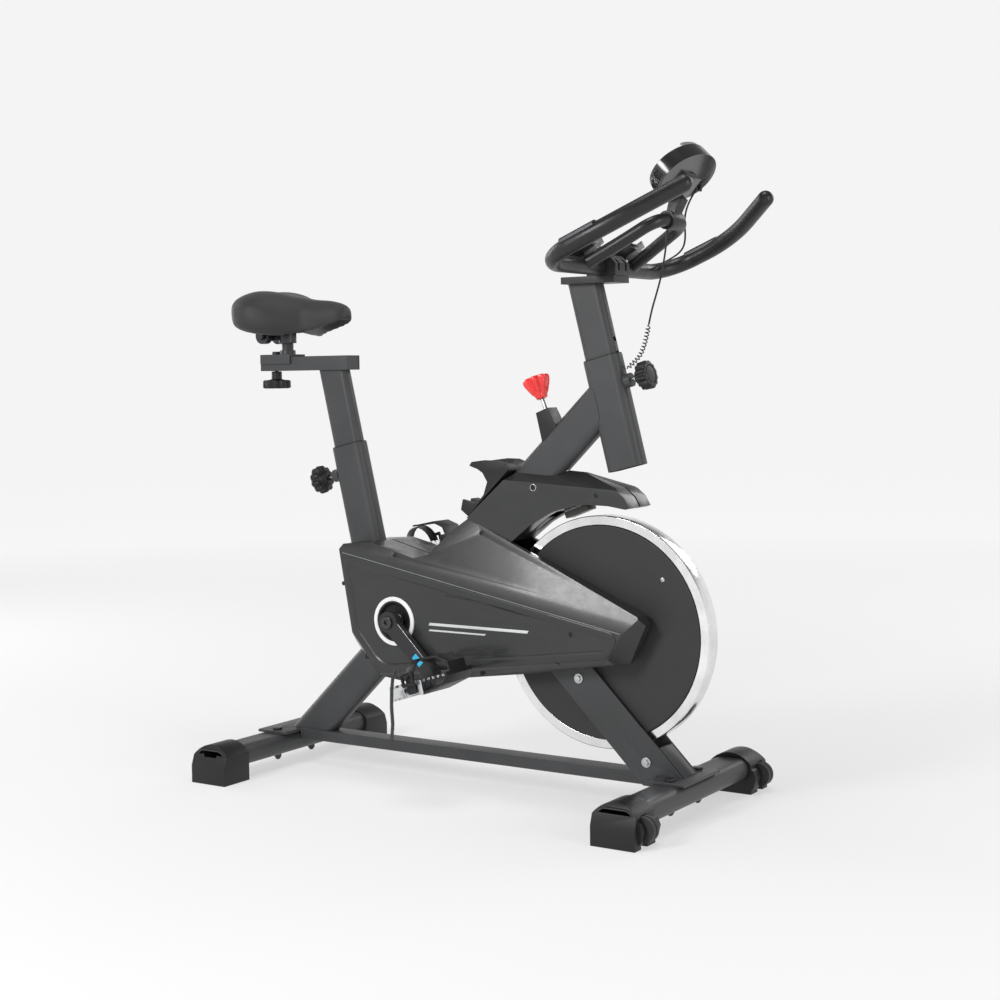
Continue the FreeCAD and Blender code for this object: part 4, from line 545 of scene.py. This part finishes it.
def smooth_rows(rows, count):
    """Rows between the given ones, along a Catmull-Rom line through them."""
    last = len(rows) - 1
    out = []
    for i in range(count + 1):
        t = last * i / count
        k = min(int(t), last - 1)
        f = t - k
        near = rows[max(k - 1, 0)], rows[k], rows[k + 1], rows[min(k + 2, last)]
        out.append([0.5 * (2 * b + (c - a) * f + (2 * a - 5 * b + 4 * c - d) * f * f
                           + (3 * b - a - 3 * c + d) * f ** 3) for a, b, c, d in zip(*near)])
    return out


def lofted(name, loops, material, smooth_angle=40.0, closed=False):
    """Skin over loops of points with the same count; its ends are capped unless it closes on itself."""
    bm = bmesh.new()
    rings = [[bm.verts.new(p) for p in loop] for loop in loops]
    pairs = list(zip(rings, rings[1:]))
    if closed:
        pairs.append((rings[-1], rings[0]))
    for a, b in pairs:
        for i in range(len(a)):
            j = (i + 1) % len(a)
            bm.faces.new((a[i], b[i], b[j], a[j]))
    if not closed:
        bm.faces.new(rings[0])
        bm.faces.new(rings[-1][::-1])
    return from_bmesh(name, bm, material, smooth_angle)


# ---- cords --------------------------------------------------------------------------------------
LEAD_RADIUS = 0.0016
CURL_WIRE = 0.0010
CURL_RADIUS = 0.0034
CURL_TURNS = 14

SENSOR_LINE = [P(419, 38, 1046), P(410, 33, 1036), P(397, 28, 1023), P(383.5, 26, 1006.5), P(374, 25, 984),
               P(373, 24, 956), P(370, 21, 928), P(365, 18, 898), P(358, 14, 870), P(350, 12, 844),
               P(343, 15.5, 822)]
CURL_LINE = [P(343, 15.5, 822), P(336, 19, 800), P(328, 23, 782), P(317, 24, 763), P(300, 15, 748)]
PULSE_LINE = [P(420, 44, 1046), P(405, 53, 1032), P(392, 60, 1014), P(385, 67, 994), P(384, 73, 973),
              P(378, 80, 955), P(362, 92, 944), P(337, 110, 937), P(309, 130, 931), P(280, 147, 923)]


def curl_path():
    """The curly lead's helix round its own NURBS line, joined at both ends to the line itself."""
    line = spline_points(CURL_LINE)
    total = length_of(line)
    steps = CURL_TURNS * 14
    side = Vector((0, 1, 0))
    out = []
    walked = [0.0]
    for a, b in zip(line, line[1:]):
        walked.append(walked[-1] + (b - a).length)
    k = 0
    for i in range(steps + 1):
        s = total * i / steps
        while k < len(line) - 2 and walked[k + 1] < s:
            k += 1
        f = (s - walked[k]) / max(1e-9, walked[k + 1] - walked[k])
        here = line[k].lerp(line[k + 1], min(1.0, f))
        along = (line[k + 1] - line[k]).normalized()
        across = along.cross(side).normalized()
        other = along.cross(across)
        share = min(1.0, 14.0 * min(i, steps - i) / steps)
        angle = 2 * math.pi * CURL_TURNS * i / steps
        out.append(here + (across * math.cos(angle) + other * math.sin(angle)) * CURL_RADIUS * share)
    return out


def make_cords():
    for name, node, line in (("sensor_lead_cable", "sensor_lead", SENSOR_LINE),
                             ("pulse_lead_cable", "pulse_lead", PULSE_LINE)):
        lead = spline(name, line, LEAD_RADIUS, "cable")
        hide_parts(node)
        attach(lead, "bar_stem")
        length_of(spline_points(line))
    helix = curl_path()
    curl = swept("curly_lead_coil", helix, CURL_WIRE, "cable", profile_res=3, resolution=3)
    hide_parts("curly_lead")
    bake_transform(curl)


make_cords()


# ---- stations shared by several pieces, in millimetres ------------------------------------------
WHEEL = P(266.7, 0, 299)
CRANK = P(-134, 0, 299)
SIDE = Vector((0, 1, 0))
SEAT_TILT = math.radians(13.0)
BAR_TILT = math.radians(14.0)
SEAT_BACK = Vector((-math.cos(SEAT_TILT), 0, -math.sin(SEAT_TILT)))
BAR_FRONT = Vector((math.cos(BAR_TILT), 0, math.sin(BAR_TILT)))
BRAKE_TILT = math.radians(21.0)
BRAKE_PAD = P(214.6, 0, 503.4)
BRAKE_UP = Vector((-math.sin(BRAKE_TILT), 0, math.cos(BRAKE_TILT)))
SIDES = ((-1, "right"), (1, "left"))


# ---- flywheel -----------------------------------------------------------------------------------
FLYWHEEL_SCREWS = 3
FLYWHEEL_SCREW_AT = 150.0
FLYWHEEL_SCREW_START = 40.0


def make_flywheel():
    rim = turned("flywheel_rim_ring", WHEEL, SIDE, [
        (-14.2, 183.2), (-16, 184.5), (-16, 198.6), (-15.0, 199.7), (-13.6, 200), (13.6, 200), (15.0, 199.7),
        (16, 198.6), (16, 184.5), (14.2, 183.2), (-14.2, 183.2)], "chrome", segments=192)
    place(rim, "flywheel", node="flywheel_rim")
    for side, word in SIDES:
        profile = [(0.0, 182.9), (16.6, 182.9), (17.4, 181.9), (17.5, 178.0), (17.1, 172.0), (16.9, 120.0),
                   (17.1, 62.0), (17.5, 58.0), (17.5, 26.0), (17.2, 24.0), (17.2, 13.0), (12.0, 12.6),
                   (0.0, 12.6)]
        plate = turned("flywheel_plate_" + word, WHEEL, SIDE * side, profile, "disc", segments=192)
        place(plate, "flywheel", SLOT["flywheel_side_plates"])
        if side < 0:
            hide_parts("flywheel_disc", "flywheel_side_plates")
        for i in range(FLYWHEEL_SCREWS):
            angle = math.radians(FLYWHEEL_SCREW_START + 360 / FLYWHEEL_SCREWS * i)
            spot = WHEEL + P(FLYWHEEL_SCREW_AT * math.cos(angle), side * 16.8,
                             FLYWHEEL_SCREW_AT * math.sin(angle))
            screw = turned("flywheel_screw_%s_%d" % (word, i + 1), spot, SIDE * side, [
                (0, 4.2), (1.2, 4.2), (1.9, 3.4), (2.1, 2.4), (1.1, 2.2), (1.1, 0)], "steel", segments=24)
            place(screw, "flywheel", SLOT["flywheel_side_plates"])


make_flywheel()


# ---- knobs --------------------------------------------------------------------------------------
PIN_DROP = 0.049  # from the top of a sleeve down to its spring pin
SEAT_PIN = P(-288, 0, 612) + Vector((math.sin(SEAT_TILT), 0, -math.cos(SEAT_TILT))) * PIN_DROP
BAR_PIN = P(262, 0, 766) + Vector((math.sin(BAR_TILT), 0, -math.cos(BAR_TILT))) * PIN_DROP
# Rows of height, radius and share of the flute's depth.
SEAT_KNOB = [(0, 5.5), (0, 12.5), (1.2, 14), (6.5, 14.2), (9.0, 19, 0.3), (10.5, 24.4, 0.8),
             (12.0, 25.6, 1.0), (24.0, 26.6, 1.0), (26.4, 26.0, 0.9), (28.0, 24.2, 0.6), (28.8, 22.0, 0.2),
             (28.8, 18.0), (27.6, 17.4), (27.6, 15.6), (28.6, 15.0), (29.8, 8.0), (30.0, 0.0)]
BAR_KNOB = [(0, 5.5), (0, 11.5), (1.0, 12.6), (5.0, 12.8), (6.2, 17.5, 0.4), (7.0, 22.6, 0.9),
            (8.2, 24.0, 1.0), (22.0, 24.8, 1.0), (24.4, 24.2, 0.9), (26.0, 22.6, 0.5), (26.4, 20.4, 0.1),
            (26.4, 17.0), (25.2, 16.4), (25.2, 14.8), (26.2, 14.2), (26.9, 7.0), (27.0, 0.0)]
SLIDER_KNOB = [(0, 4.5), (0, 9.0), (1.0, 9.9), (14.5, 10.0), (16.0, 14.0, 0.2), (17.0, 25.2, 0.8),
               (18.4, 27.0, 1.0), (30.0, 27.4, 1.0), (32.0, 26.2, 0.8), (33.0, 23.0, 0.2), (33.0, 0.0)]
TENSION_KNOB = [(-1.5, 5.0), (-1.5, 8.5), (0, 10.2), (4, 11.2, 0.1), (10, 15.5, 0.5), (20, 20.4, 0.9),
                (28, 23.6, 1.0), (33, 24.6, 1.0), (36.0, 23.8, 0.9), (37.6, 21.6, 0.5), (38.0, 18.0, 0.1),
                (37.2, 10.0), (37.0, 0.0)]
# Node, body, start, axis, profile, material, segments, then the flutes' count, depth and sharpness.
KNOBS = [
    ("seat_knob", "seat_knob_body", SEAT_PIN + SEAT_BACK * 0.062, SEAT_BACK, SEAT_KNOB, "black", 160, 10,
     4.2, 1.6),
    ("bar_knob", "bar_knob_body", BAR_PIN + BAR_FRONT * 0.057, BAR_FRONT, BAR_KNOB, "black", 168, 12,
     3.6, 1.3),
    ("slider_knob", "slider_knob_body", P(-464, 0, 753.2), Vector((0, 0, -1)), SLIDER_KNOB, "black", 160, 10,
     3.6, 1.6),
    ("tension_knob", "brake_knob", BRAKE_PAD + BRAKE_UP * 0.210, BRAKE_UP, TENSION_KNOB, "red", 160, 8,
     5.6, 1.3),
]


def make_knobs():
    for node, body, start, axis, profile, material, segments, flutes, depth, power in KNOBS:
        knob = turned(node + "_fluted", start, axis, profile, material, segments, flutes, depth, power)
        place(knob, body, node=node)


make_knobs()


# ---- saddle -------------------------------------------------------------------------------------
# From the rear to the nose: x, half width, height of the skirt's edge, height of the crown.
SADDLE_STATIONS = [
    (-509.5, 46, 862, 888), (-507, 74, 852, 895), (-497, 94, 841, 902), (-478, 101, 831, 905.5),
    (-450, 101, 824, 904.5), (-424, 90, 820, 899.5), (-398, 69, 819, 892.5), (-366, 46, 824, 886),
    (-332, 35, 831, 883), (-306, 30, 837, 879.5), (-292, 24, 842, 874), (-286, 15, 847, 867)]
SADDLE_FLOOR = 853.0
CUSHION_ROOM = 2.5  # how much smaller the cushion starts before it is inflated
CROWN_STEPS = 28


def saddle_loop(x, half, low, top):
    """One cross-section: two lobes with a shallow channel between them, skirt and hollow underside."""
    middle = low + 0.36 * (top - low)
    hollow = min(max(low + 10.0, SADDLE_FLOOR), top - 8.0)
    rear = max(0.0, min(1.0, (-385.0 - x) / 70.0))
    crown = []
    for i in range(CROWN_STEPS + 1):
        angle = math.pi * i / CROWN_STEPS
        y = half * math.cos(angle)
        z = middle + (top - middle) * math.sin(angle) ** 0.62
        lobe = 2.0 * math.exp(-((abs(y) - 0.52 * half) / 24.0) ** 2)
        channel = 5.0 * math.exp(-(y / 12.0) ** 2)
        crown.append((y, z + rear * (lobe - channel)))
    under = [(0.985, 0.45 * middle + 0.55 * low), (0.95, low + 3.0), (0.89, low + 0.4), (0.82, low + 0.8),
             (0.74, low + 4.0), (0.66, hollow), (0.35, hollow)]
    right = [(-share * half, z) for share, z in under]
    left = [(share * half, z) for share, z in reversed(under)]
    return [P(x, y, z) for y, z in crown + right + left]


CLOTH_FRAMES = 20
CLOTH_PRESSURE = 4.0


def inflated(obj, voxel, cap):
    """Cloth under a little inner pressure on a remeshed copy; the underside stays, travel is capped."""
    remesh = obj.modifiers.new("remesh", "REMESH")
    remesh.mode = "VOXEL"
    remesh.voxel_size = voxel
    baked(obj)
    start = [v.co.copy() for v in obj.data.vertices]
    down = [v.normal.z < -0.25 for v in obj.data.vertices]
    cloth = obj.modifiers.new("cloth", "CLOTH")
    cloth.settings.use_pressure = True
    cloth.settings.uniform_pressure_force = CLOTH_PRESSURE
    cloth.settings.effector_weights.gravity = 0.0
    for number in range(1, CLOTH_FRAMES + 1):
        scene.frame_set(number)
    baked(obj)
    scene.frame_set(1)
    for v, a, fixed in zip(obj.data.vertices, start, down):
        step = v.co - a
        if step.length > cap:
            step.length = cap
        v.co = a if fixed else a + step
    smooth = obj.modifiers.new("smooth", "CORRECTIVE_SMOOTH")
    smooth.use_only_smooth = True
    smooth.iterations = 6
    finer = obj.modifiers.new("finer", "SUBSURF")
    finer.levels = 1
    finer.render_levels = 1
    baked(obj)
    obj.data.shade_smooth()
    return obj


def make_saddle():
    loops = [saddle_loop(x, half - CUSHION_ROOM, low, top - CUSHION_ROOM)
             for x, half, low, top in smooth_rows(SADDLE_STATIONS, 44)]
    pad = lofted("saddle_cushion", loops, "vinyl")
    inflated(pad, voxel=0.004, cap=0.005)
    pad.data.materials.clear()
    pad.data.materials.append(M["vinyl"])
    place(pad, "saddle_body", node="saddle")
    outline = [(x, 0.70 * half) for x, half, low, top in smooth_rows(SADDLE_STATIONS, 24)[1:-2]]
    pan = SADDLE_FLOOR - 4.0
    points = [P(x, y, pan) for x, y in outline] + [P(x, -y, pan) for x, y in outline[::-1]]
    place(slab("saddle_base_pan", points, 5.0, (0, 0, 1), "black"), "saddle_body", "black_plastic")
    ribs = [block("rib", P(x, 0, pan - 2.0), (1, 0, 0), SIDE, (0, 0, 1), (2.0, wide, 5.0), "black", 0.5)
            for x, wide in ((-492, 70), (-478, 100), (-366, 40), (-350, 36), (-334, 32))]
    place(joined("saddle_base_ribs", ribs, "black"), "saddle_body", "black_plastic")


make_saddle()


# ---- belt cover ---------------------------------------------------------------------------------
COVER_FACE = 75.0
# Corners of the upright outer face in the side view, and the rounding of each.
FACE_CORNERS = [((-257, 419), 26), ((-231, 272), 60), ((-169, 200.6), 60), ((308, 263), 22),
                ((334, 307.5), 16)]
# Raised rim of the face: how far in from the outline, how far out from the face.
RIM_ROWS = [(1.0, 0.0), (1.6, 1.3), (3.2, 1.9), (13.0, 1.9), (15.5, 0.9), (17.5, -0.5), (1.0, -0.5)]
CREASE = [(-250, 417.9), (0, 370.7), (331, 308.2)]
FACE_LINES = {"upper": [(-20, 352), (50, 345), (130, 334), (222, 314)],
              "lower": [(-40, 243), (20, 250), (84, 257), (150, 256), (214, 248)]}
# Plain pale stripes: label, rear end, front end, height of the lower edge, width.
STRIPES = [("long", -58, 150, 296.5, 5.0), ("short", -58, 62, 286.5, 3.0)]
STRIPE_SLANT = 3.0


def rounded_loop(corners, inset, y, steps=10):
    """Points round an outline in the side view, drawn in by inset, with each corner rounded."""
    count = len(corners)
    points = [Vector(c[0]) for c in corners]
    middle = sum(points, Vector((0.0, 0.0))) / count
    lines = []
    for i in range(count):
        a, b = points[i], points[(i + 1) % count]
        along = (b - a).normalized()
        normal = Vector((-along.y, along.x))
        if normal.dot(middle - a) < 0:
            normal = -normal
        lines.append((a + normal * inset, along, normal))
    out = []
    for i in range(count):
        a, d1, n1 = lines[i - 1]
        b, d2, n2 = lines[i]
        cross = d1.x * d2.y - d1.y * d2.x
        reach = ((b - a).x * d2.y - (b - a).y * d2.x) / cross
        corner = a + d1 * reach
        radius = max(2.0, corners[i][1] - inset)
        half_turn = math.acos(max(-1.0, min(1.0, d1.dot(d2)))) / 2.0
        centre = corner + (n1 + n2).normalized() * radius / math.cos(half_turn)
        for k in range(steps + 1):
            f = k / steps
            direction = (-n1 * (1.0 - f) - n2 * f).normalized()
            spot = centre + direction * radius
            out.append(P(spot.x, y, spot.y))
    return out


def make_cover_trim():
    for side, word in SIDES:
        face = side * COVER_FACE
        loops = [rounded_loop(FACE_CORNERS, inset, face + side * rise) for inset, rise in RIM_ROWS]
        band = lofted("cover_rim_" + word, loops, "cover", closed=True)
        place(band, "frame", "gloss_plastic")
        # A thin grey bead along the crease: a painted highlight.
        edge = [P(x, face - side * 0.2, z) for x, z in CREASE]
        place(swept("cover_crease_highlight_" + word, edge, 0.0008, "grey"), "frame", "gloss_plastic")
        for label, line in FACE_LINES.items():
            path = [P(x, face + side * 0.1, z) for x, z in line]
            place(swept("cover_line_%s_%s" % (label, word), path, 0.0012, "cover"), "frame", "gloss_plastic")
        for label, x0, x1, z, high in STRIPES:
            ends = [P(x0, face, z), P(x1, face, z), P(x1 + STRIPE_SLANT, face, z + high),
                    P(x0 + STRIPE_SLANT, face, z + high)]
            mark = slab("cover_stripe_%s_%s" % (label, word), ends, 0.5, (0, side, 0), "pale", bevel=0.15)
            place(mark, "frame", "grey_plastic")
        centre = CRANK + SIDE * face * 0.001
        ring = turned("crank_trim_ring_" + word, centre, SIDE * side, [
            (-1.0, 36.6), (1.6, 36.6), (2.3, 37.2), (2.5, 38.4), (2.5, 42.8), (2.2, 43.8), (1.4, 44.3),
            (-1.0, 44.4), (-1.0, 36.6)], "white", segments=128)
        place(ring, "frame", node="crank_rings" if side < 0 else None, slot=SLOT["crank_rings"])
        cup = turned("crank_cup_" + word, centre, SIDE * side, [
            (1.2, 36.5), (1.2, 33.6), (0.4, 32.9), (-6.0, 31.0), (-9.0, 27.0), (-9.6, 13.0), (-11.0, 12.0),
            (-12.0, 12.0), (-12.0, 33.2), (-4.0, 33.6), (-1.0, 36.5), (1.2, 36.5)], "black", segments=128)
        place(cup, "frame", "black_plastic")


make_cover_trim()


# ---- crank, brake, fasteners --------------------------------------------------------------------
CRANK_ANGLE = math.radians(-43.7)
ARM_FACE = 96.0
LABEL_AT = 0.091  # from the spindle's middle, along the arm


def make_crank_details():
    """On each arm a plain blue label, a bolt cap and a bright steel line on one edge, a painted highlight."""
    for side, word in SIDES:
        outward = SIDE * side
        along = Vector((math.cos(CRANK_ANGLE), 0, math.sin(CRANK_ANGLE))) * -side
        across = along.cross(SIDE)
        middle = CRANK + along * LABEL_AT + outward * (ARM_FACE + 0.25) * 0.001
        label = block("crank_label_" + word, middle, along, across, SIDE, (22, 12, 0.5), "cyan", 0.12)
        place(label, "crank", "gloss_plastic")
        cap = turned("crank_bolt_" + word, CRANK + outward * ARM_FACE * 0.001, outward, [
            (0, 11.2), (3.2, 11.2), (4.3, 10.4), (4.6, 8.6), (4.4, 5.2), (1.2, 5.0), (1.0, 0.0)], "gloss",
            segments=48)
        place(cap, "crank", "gloss_plastic")
        # A thin steel line along one edge of the arm: a painted highlight.
        near = CRANK + along * 0.018 + across * 0.0143 + outward * 0.0954
        far = CRANK + along * 0.136 + across * 0.0116 + outward * 0.0954
        place(swept("crank_edge_highlight_" + word, [near, far], 0.0007, "steel"), "crank", "dark_steel")


PAD_TOP = 0.0065  # the felt's top, above the pad's middle
CLIP_LIFT = 0.0155
CLIPS = [(-0.012, -0.011), (0.008, -0.011), (-0.002, 0.011)]


def make_brake():
    """Rod with its felt pad, and three clips that hold the felt."""
    rod = softened("tension_rod", 0.6, 2, material="steel", name="brake_rod_and_pad")
    recoloured(rod, "felt", lambda c: (c * 0.001 - BRAKE_PAD).dot(BRAKE_UP) < PAD_TOP)
    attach(rod, "brake_rod")
    clips = [block("clip", BRAKE_PAD + BRAKE_UP * CLIP_LIFT + Vector((dx, dy, 0)), (1, 0, 0), SIDE, BRAKE_UP,
                   (9, 3, 3), "steel", 0.5) for dx, dy in CLIPS]
    place(joined("brake_clips", clips, "steel"), "brake_rod", "steel")


def make_fasteners():
    """Black screws and dome nuts, bright fork bolts, and a ring round each brake cover's rear screw."""
    bolts = softened("fasteners", 0.4, 2, material="hole", name="bolts_and_screws")
    recoloured(bolts, "steel", lambda c: c.z < 240 and abs(c.y) < 34 and 150 < c.x < 380)
    recoloured(bolts, "dark_steel", lambda c: c.z < 80)
    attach(bolts, "frame")
    for side, word in SIDES:
        ring = turned("brake_screw_ring_" + word, P(142.0, side * 38.0, 545.0), SIDE * side, [
            (-0.5, 5.0), (0.2, 5.0), (0.5, 5.3), (0.5, 5.9), (0.2, 6.3), (-0.5, 6.4), (-0.5, 5.0)], "steel",
            segments=48)
        place(ring, "frame", "steel")


CONSOLE = P(418, 0, 1068)
CONSOLE_UP = Vector((1, 0, 1)).normalized()
CONSOLE_OUT = Vector((-1, 0, 1)).normalized()
CONSOLE_HALF_WIDE = 75.0
CONSOLE_HALF_HIGH = 50.0
RIM_RIBS = 26
RIB_START = 22.0
RIB_PITCH = 2.4


def make_console():
    """Housing with a pale lip for a phone and fine ribs round the lower part of its rim."""
    housing = softened("console_housing", 4.0, 4)
    recoloured(housing, "grey", lambda c: (c * 0.001 - CONSOLE).dot(CONSOLE_OUT) > 0.0145)
    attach(housing, "bar_stem")
    ribs = []
    for i in range(RIM_RIBS):
        for mirror in (-1, 1):
            t = math.radians(270.0 + mirror * (RIB_START + RIB_PITCH * i))
            c, d = math.cos(t), math.sin(t)
            out = Vector((0, CONSOLE_HALF_HIGH * c, 0)) + CONSOLE_UP * CONSOLE_HALF_WIDE * d
            rim = Vector((0, CONSOLE_HALF_WIDE * c, 0)) + CONSOLE_UP * CONSOLE_HALF_HIGH * d
            at = CONSOLE + rim * 0.001
            along = out.cross(CONSOLE_OUT)
            ribs.append(block("rib", at, along, out, CONSOLE_OUT, (1.1, 1.4, 15.0), "gloss", 0.3, 1))
    place(joined("console_rim_ribs", ribs, "gloss"), "bar_stem", "black_plastic")


make_console()
make_crank_details()
make_brake()
make_fasteners()


# ---- CAD shapes with real rounded edges ---------------------------------------------------------
# Node, body, width of the rounding in millimetres, segments.
SOFTENED = [
    ("belt_cover_right", "frame", 2.2, 3), ("belt_cover_left", "frame", 2.2, 3),
    ("brake_cover", "frame", 1.8, 3), ("feet", "frame", 1.6, 3), ("saddle_plates", "frame", 0.8, 2),
    ("fork", "frame", 0.8, 2), ("axle_brackets", "frame", 0.8, 2), ("base_tube", "frame", 2.0, 3),
    ("bottle_holder", "frame", 0.9, 2), ("tension_housing", "frame", 1.8, 3), ("crank_arms", "crank", 2.0, 3),
    ("pedal_right", "pedal_right_body", 0.7, 2), ("pedal_left", "pedal_left_body", 0.7, 2),
    ("toe_cage_right", "pedal_right_body", 0.7, 2), ("toe_cage_left", "pedal_left_body", 0.7, 2),
    ("slider_tube", "seat_stem", 1.6, 3), ("slider_bracket", "seat_slider", 1.0, 2),
    ("saddle_clamp", "seat_slider", 1.0, 2), ("bar_clamp", "bar_stem", 1.2, 3),
    ("console_bracket", "bar_stem", 0.8, 2), ("elbow_rests", "bar_stem", 1.2, 2),
]
for node_name, body, width, segments in SOFTENED:
    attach(softened(node_name, width, segments), body)


# ---- floor and lights ---------------------------------------------------------------------------
FLOOR_HALF = 60.0
# The paper glows a little more where the lamps no longer reach, so that it meets the background evenly.
GLOW_NEAR = (0.3, 0.50)
GLOW_FAR = (5.0, 0.775)


def make_floor():
    bm = bmesh.new()
    bmesh.ops.create_grid(bm, x_segments=4, y_segments=4, size=FLOOR_HALF)
    floor = from_bmesh("floor", bm, "white", None)
    s = Surface("floor_paper", specular=0.0)
    cloud = s.noise(0.7, detail=3.0)
    color = s.mix(s.remap(cloud, 0.3, 0.7, 0.0, 1.0), (0.395, 0.395, 0.395), (0.405, 0.405, 0.405))
    away = s.add("ShaderNodeVectorMath", operation="LENGTH")
    s.tree.links.new(s.where, away.inputs[0])
    s.shader.inputs["Emission Color"].default_value = (1.0, 1.0, 1.0, 1.0)
    glow = s.remap(away.outputs["Value"], GLOW_NEAR[0], GLOW_FAR[0], GLOW_NEAR[1], GLOW_FAR[1])
    s.put(s.shader.inputs["Emission Strength"], glow)
    floor.data.materials[0] = s.finish(color, 1.0)


def area_light(name, at, target, size, energy, size_y):
    data = bpy.data.lights.new(name, "AREA")
    data.energy = energy
    data.shape = "RECTANGLE"
    data.size = size
    data.size_y = size_y
    lamp = bpy.data.objects.new(name, data)
    lamp.location = at
    lamp.rotation_euler = (Vector(target) - Vector(at)).to_track_quat("-Z", "Y").to_euler()
    scene.collection.objects.link(lamp)


# Background strength by the height of the direction looked in: (height, strength) low down and high up.
SKY_LOW = (0.27, 0.905)
SKY_HIGH = (0.55, 0.20)
# Name, place, aim, width, power, height (in metres and watts).
LAMPS = [
    ("key", (-0.65, -2.8, 1.9), (0.0, 0.0, 0.5), 0.9, 52.0, 1.0),
    ("top", (0.2, -0.2, 3.2), (0.0, 0.0, 0.5), 1.0, 24.0, 1.0),
    ("front", (3.0, -0.6, 1.3), (0.2, 0.0, 0.5), 0.5, 20.0, 1.8),
    ("rear", (-3.0, 0.2, 1.5), (0.0, 0.0, 0.6), 0.5, 20.0, 2.0),
    ("far", (1.0, 3.0, 2.2), (0.0, 0.0, 0.5), 1.2, 16.0, 1.2),
]


def make_lights():
    world = bpy.data.worlds.new("studio")
    scene.world = world
    world.use_nodes = True
    back = world.node_tree.nodes["Background"]
    back.inputs["Color"].default_value = (1.0, 1.0, 1.0, 1.0)
    # Bright all round the horizon, dim overhead, so that curved parts keep their shading.
    nodes, links = world.node_tree.nodes, world.node_tree.links
    axes = nodes.new("ShaderNodeSeparateXYZ")
    links.new(nodes.new("ShaderNodeTexCoord").outputs["Generated"], axes.inputs[0])
    height = nodes.new("ShaderNodeMath")
    height.operation = "ABSOLUTE"
    links.new(axes.outputs["Z"], height.inputs[0])
    fall = nodes.new("ShaderNodeMapRange")
    for key, value in (("From Min", SKY_LOW[0]), ("From Max", SKY_HIGH[0]), ("To Min", SKY_LOW[1]),
                       ("To Max", SKY_HIGH[1])):
        fall.inputs[key].default_value = value
    links.new(height.outputs[0], fall.inputs["Value"])
    links.new(fall.outputs["Result"], back.inputs["Strength"])
    scene.view_settings.view_transform = "Standard"
    for lamp in LAMPS:
        area_light(*lamp)


make_floor()
make_lights()
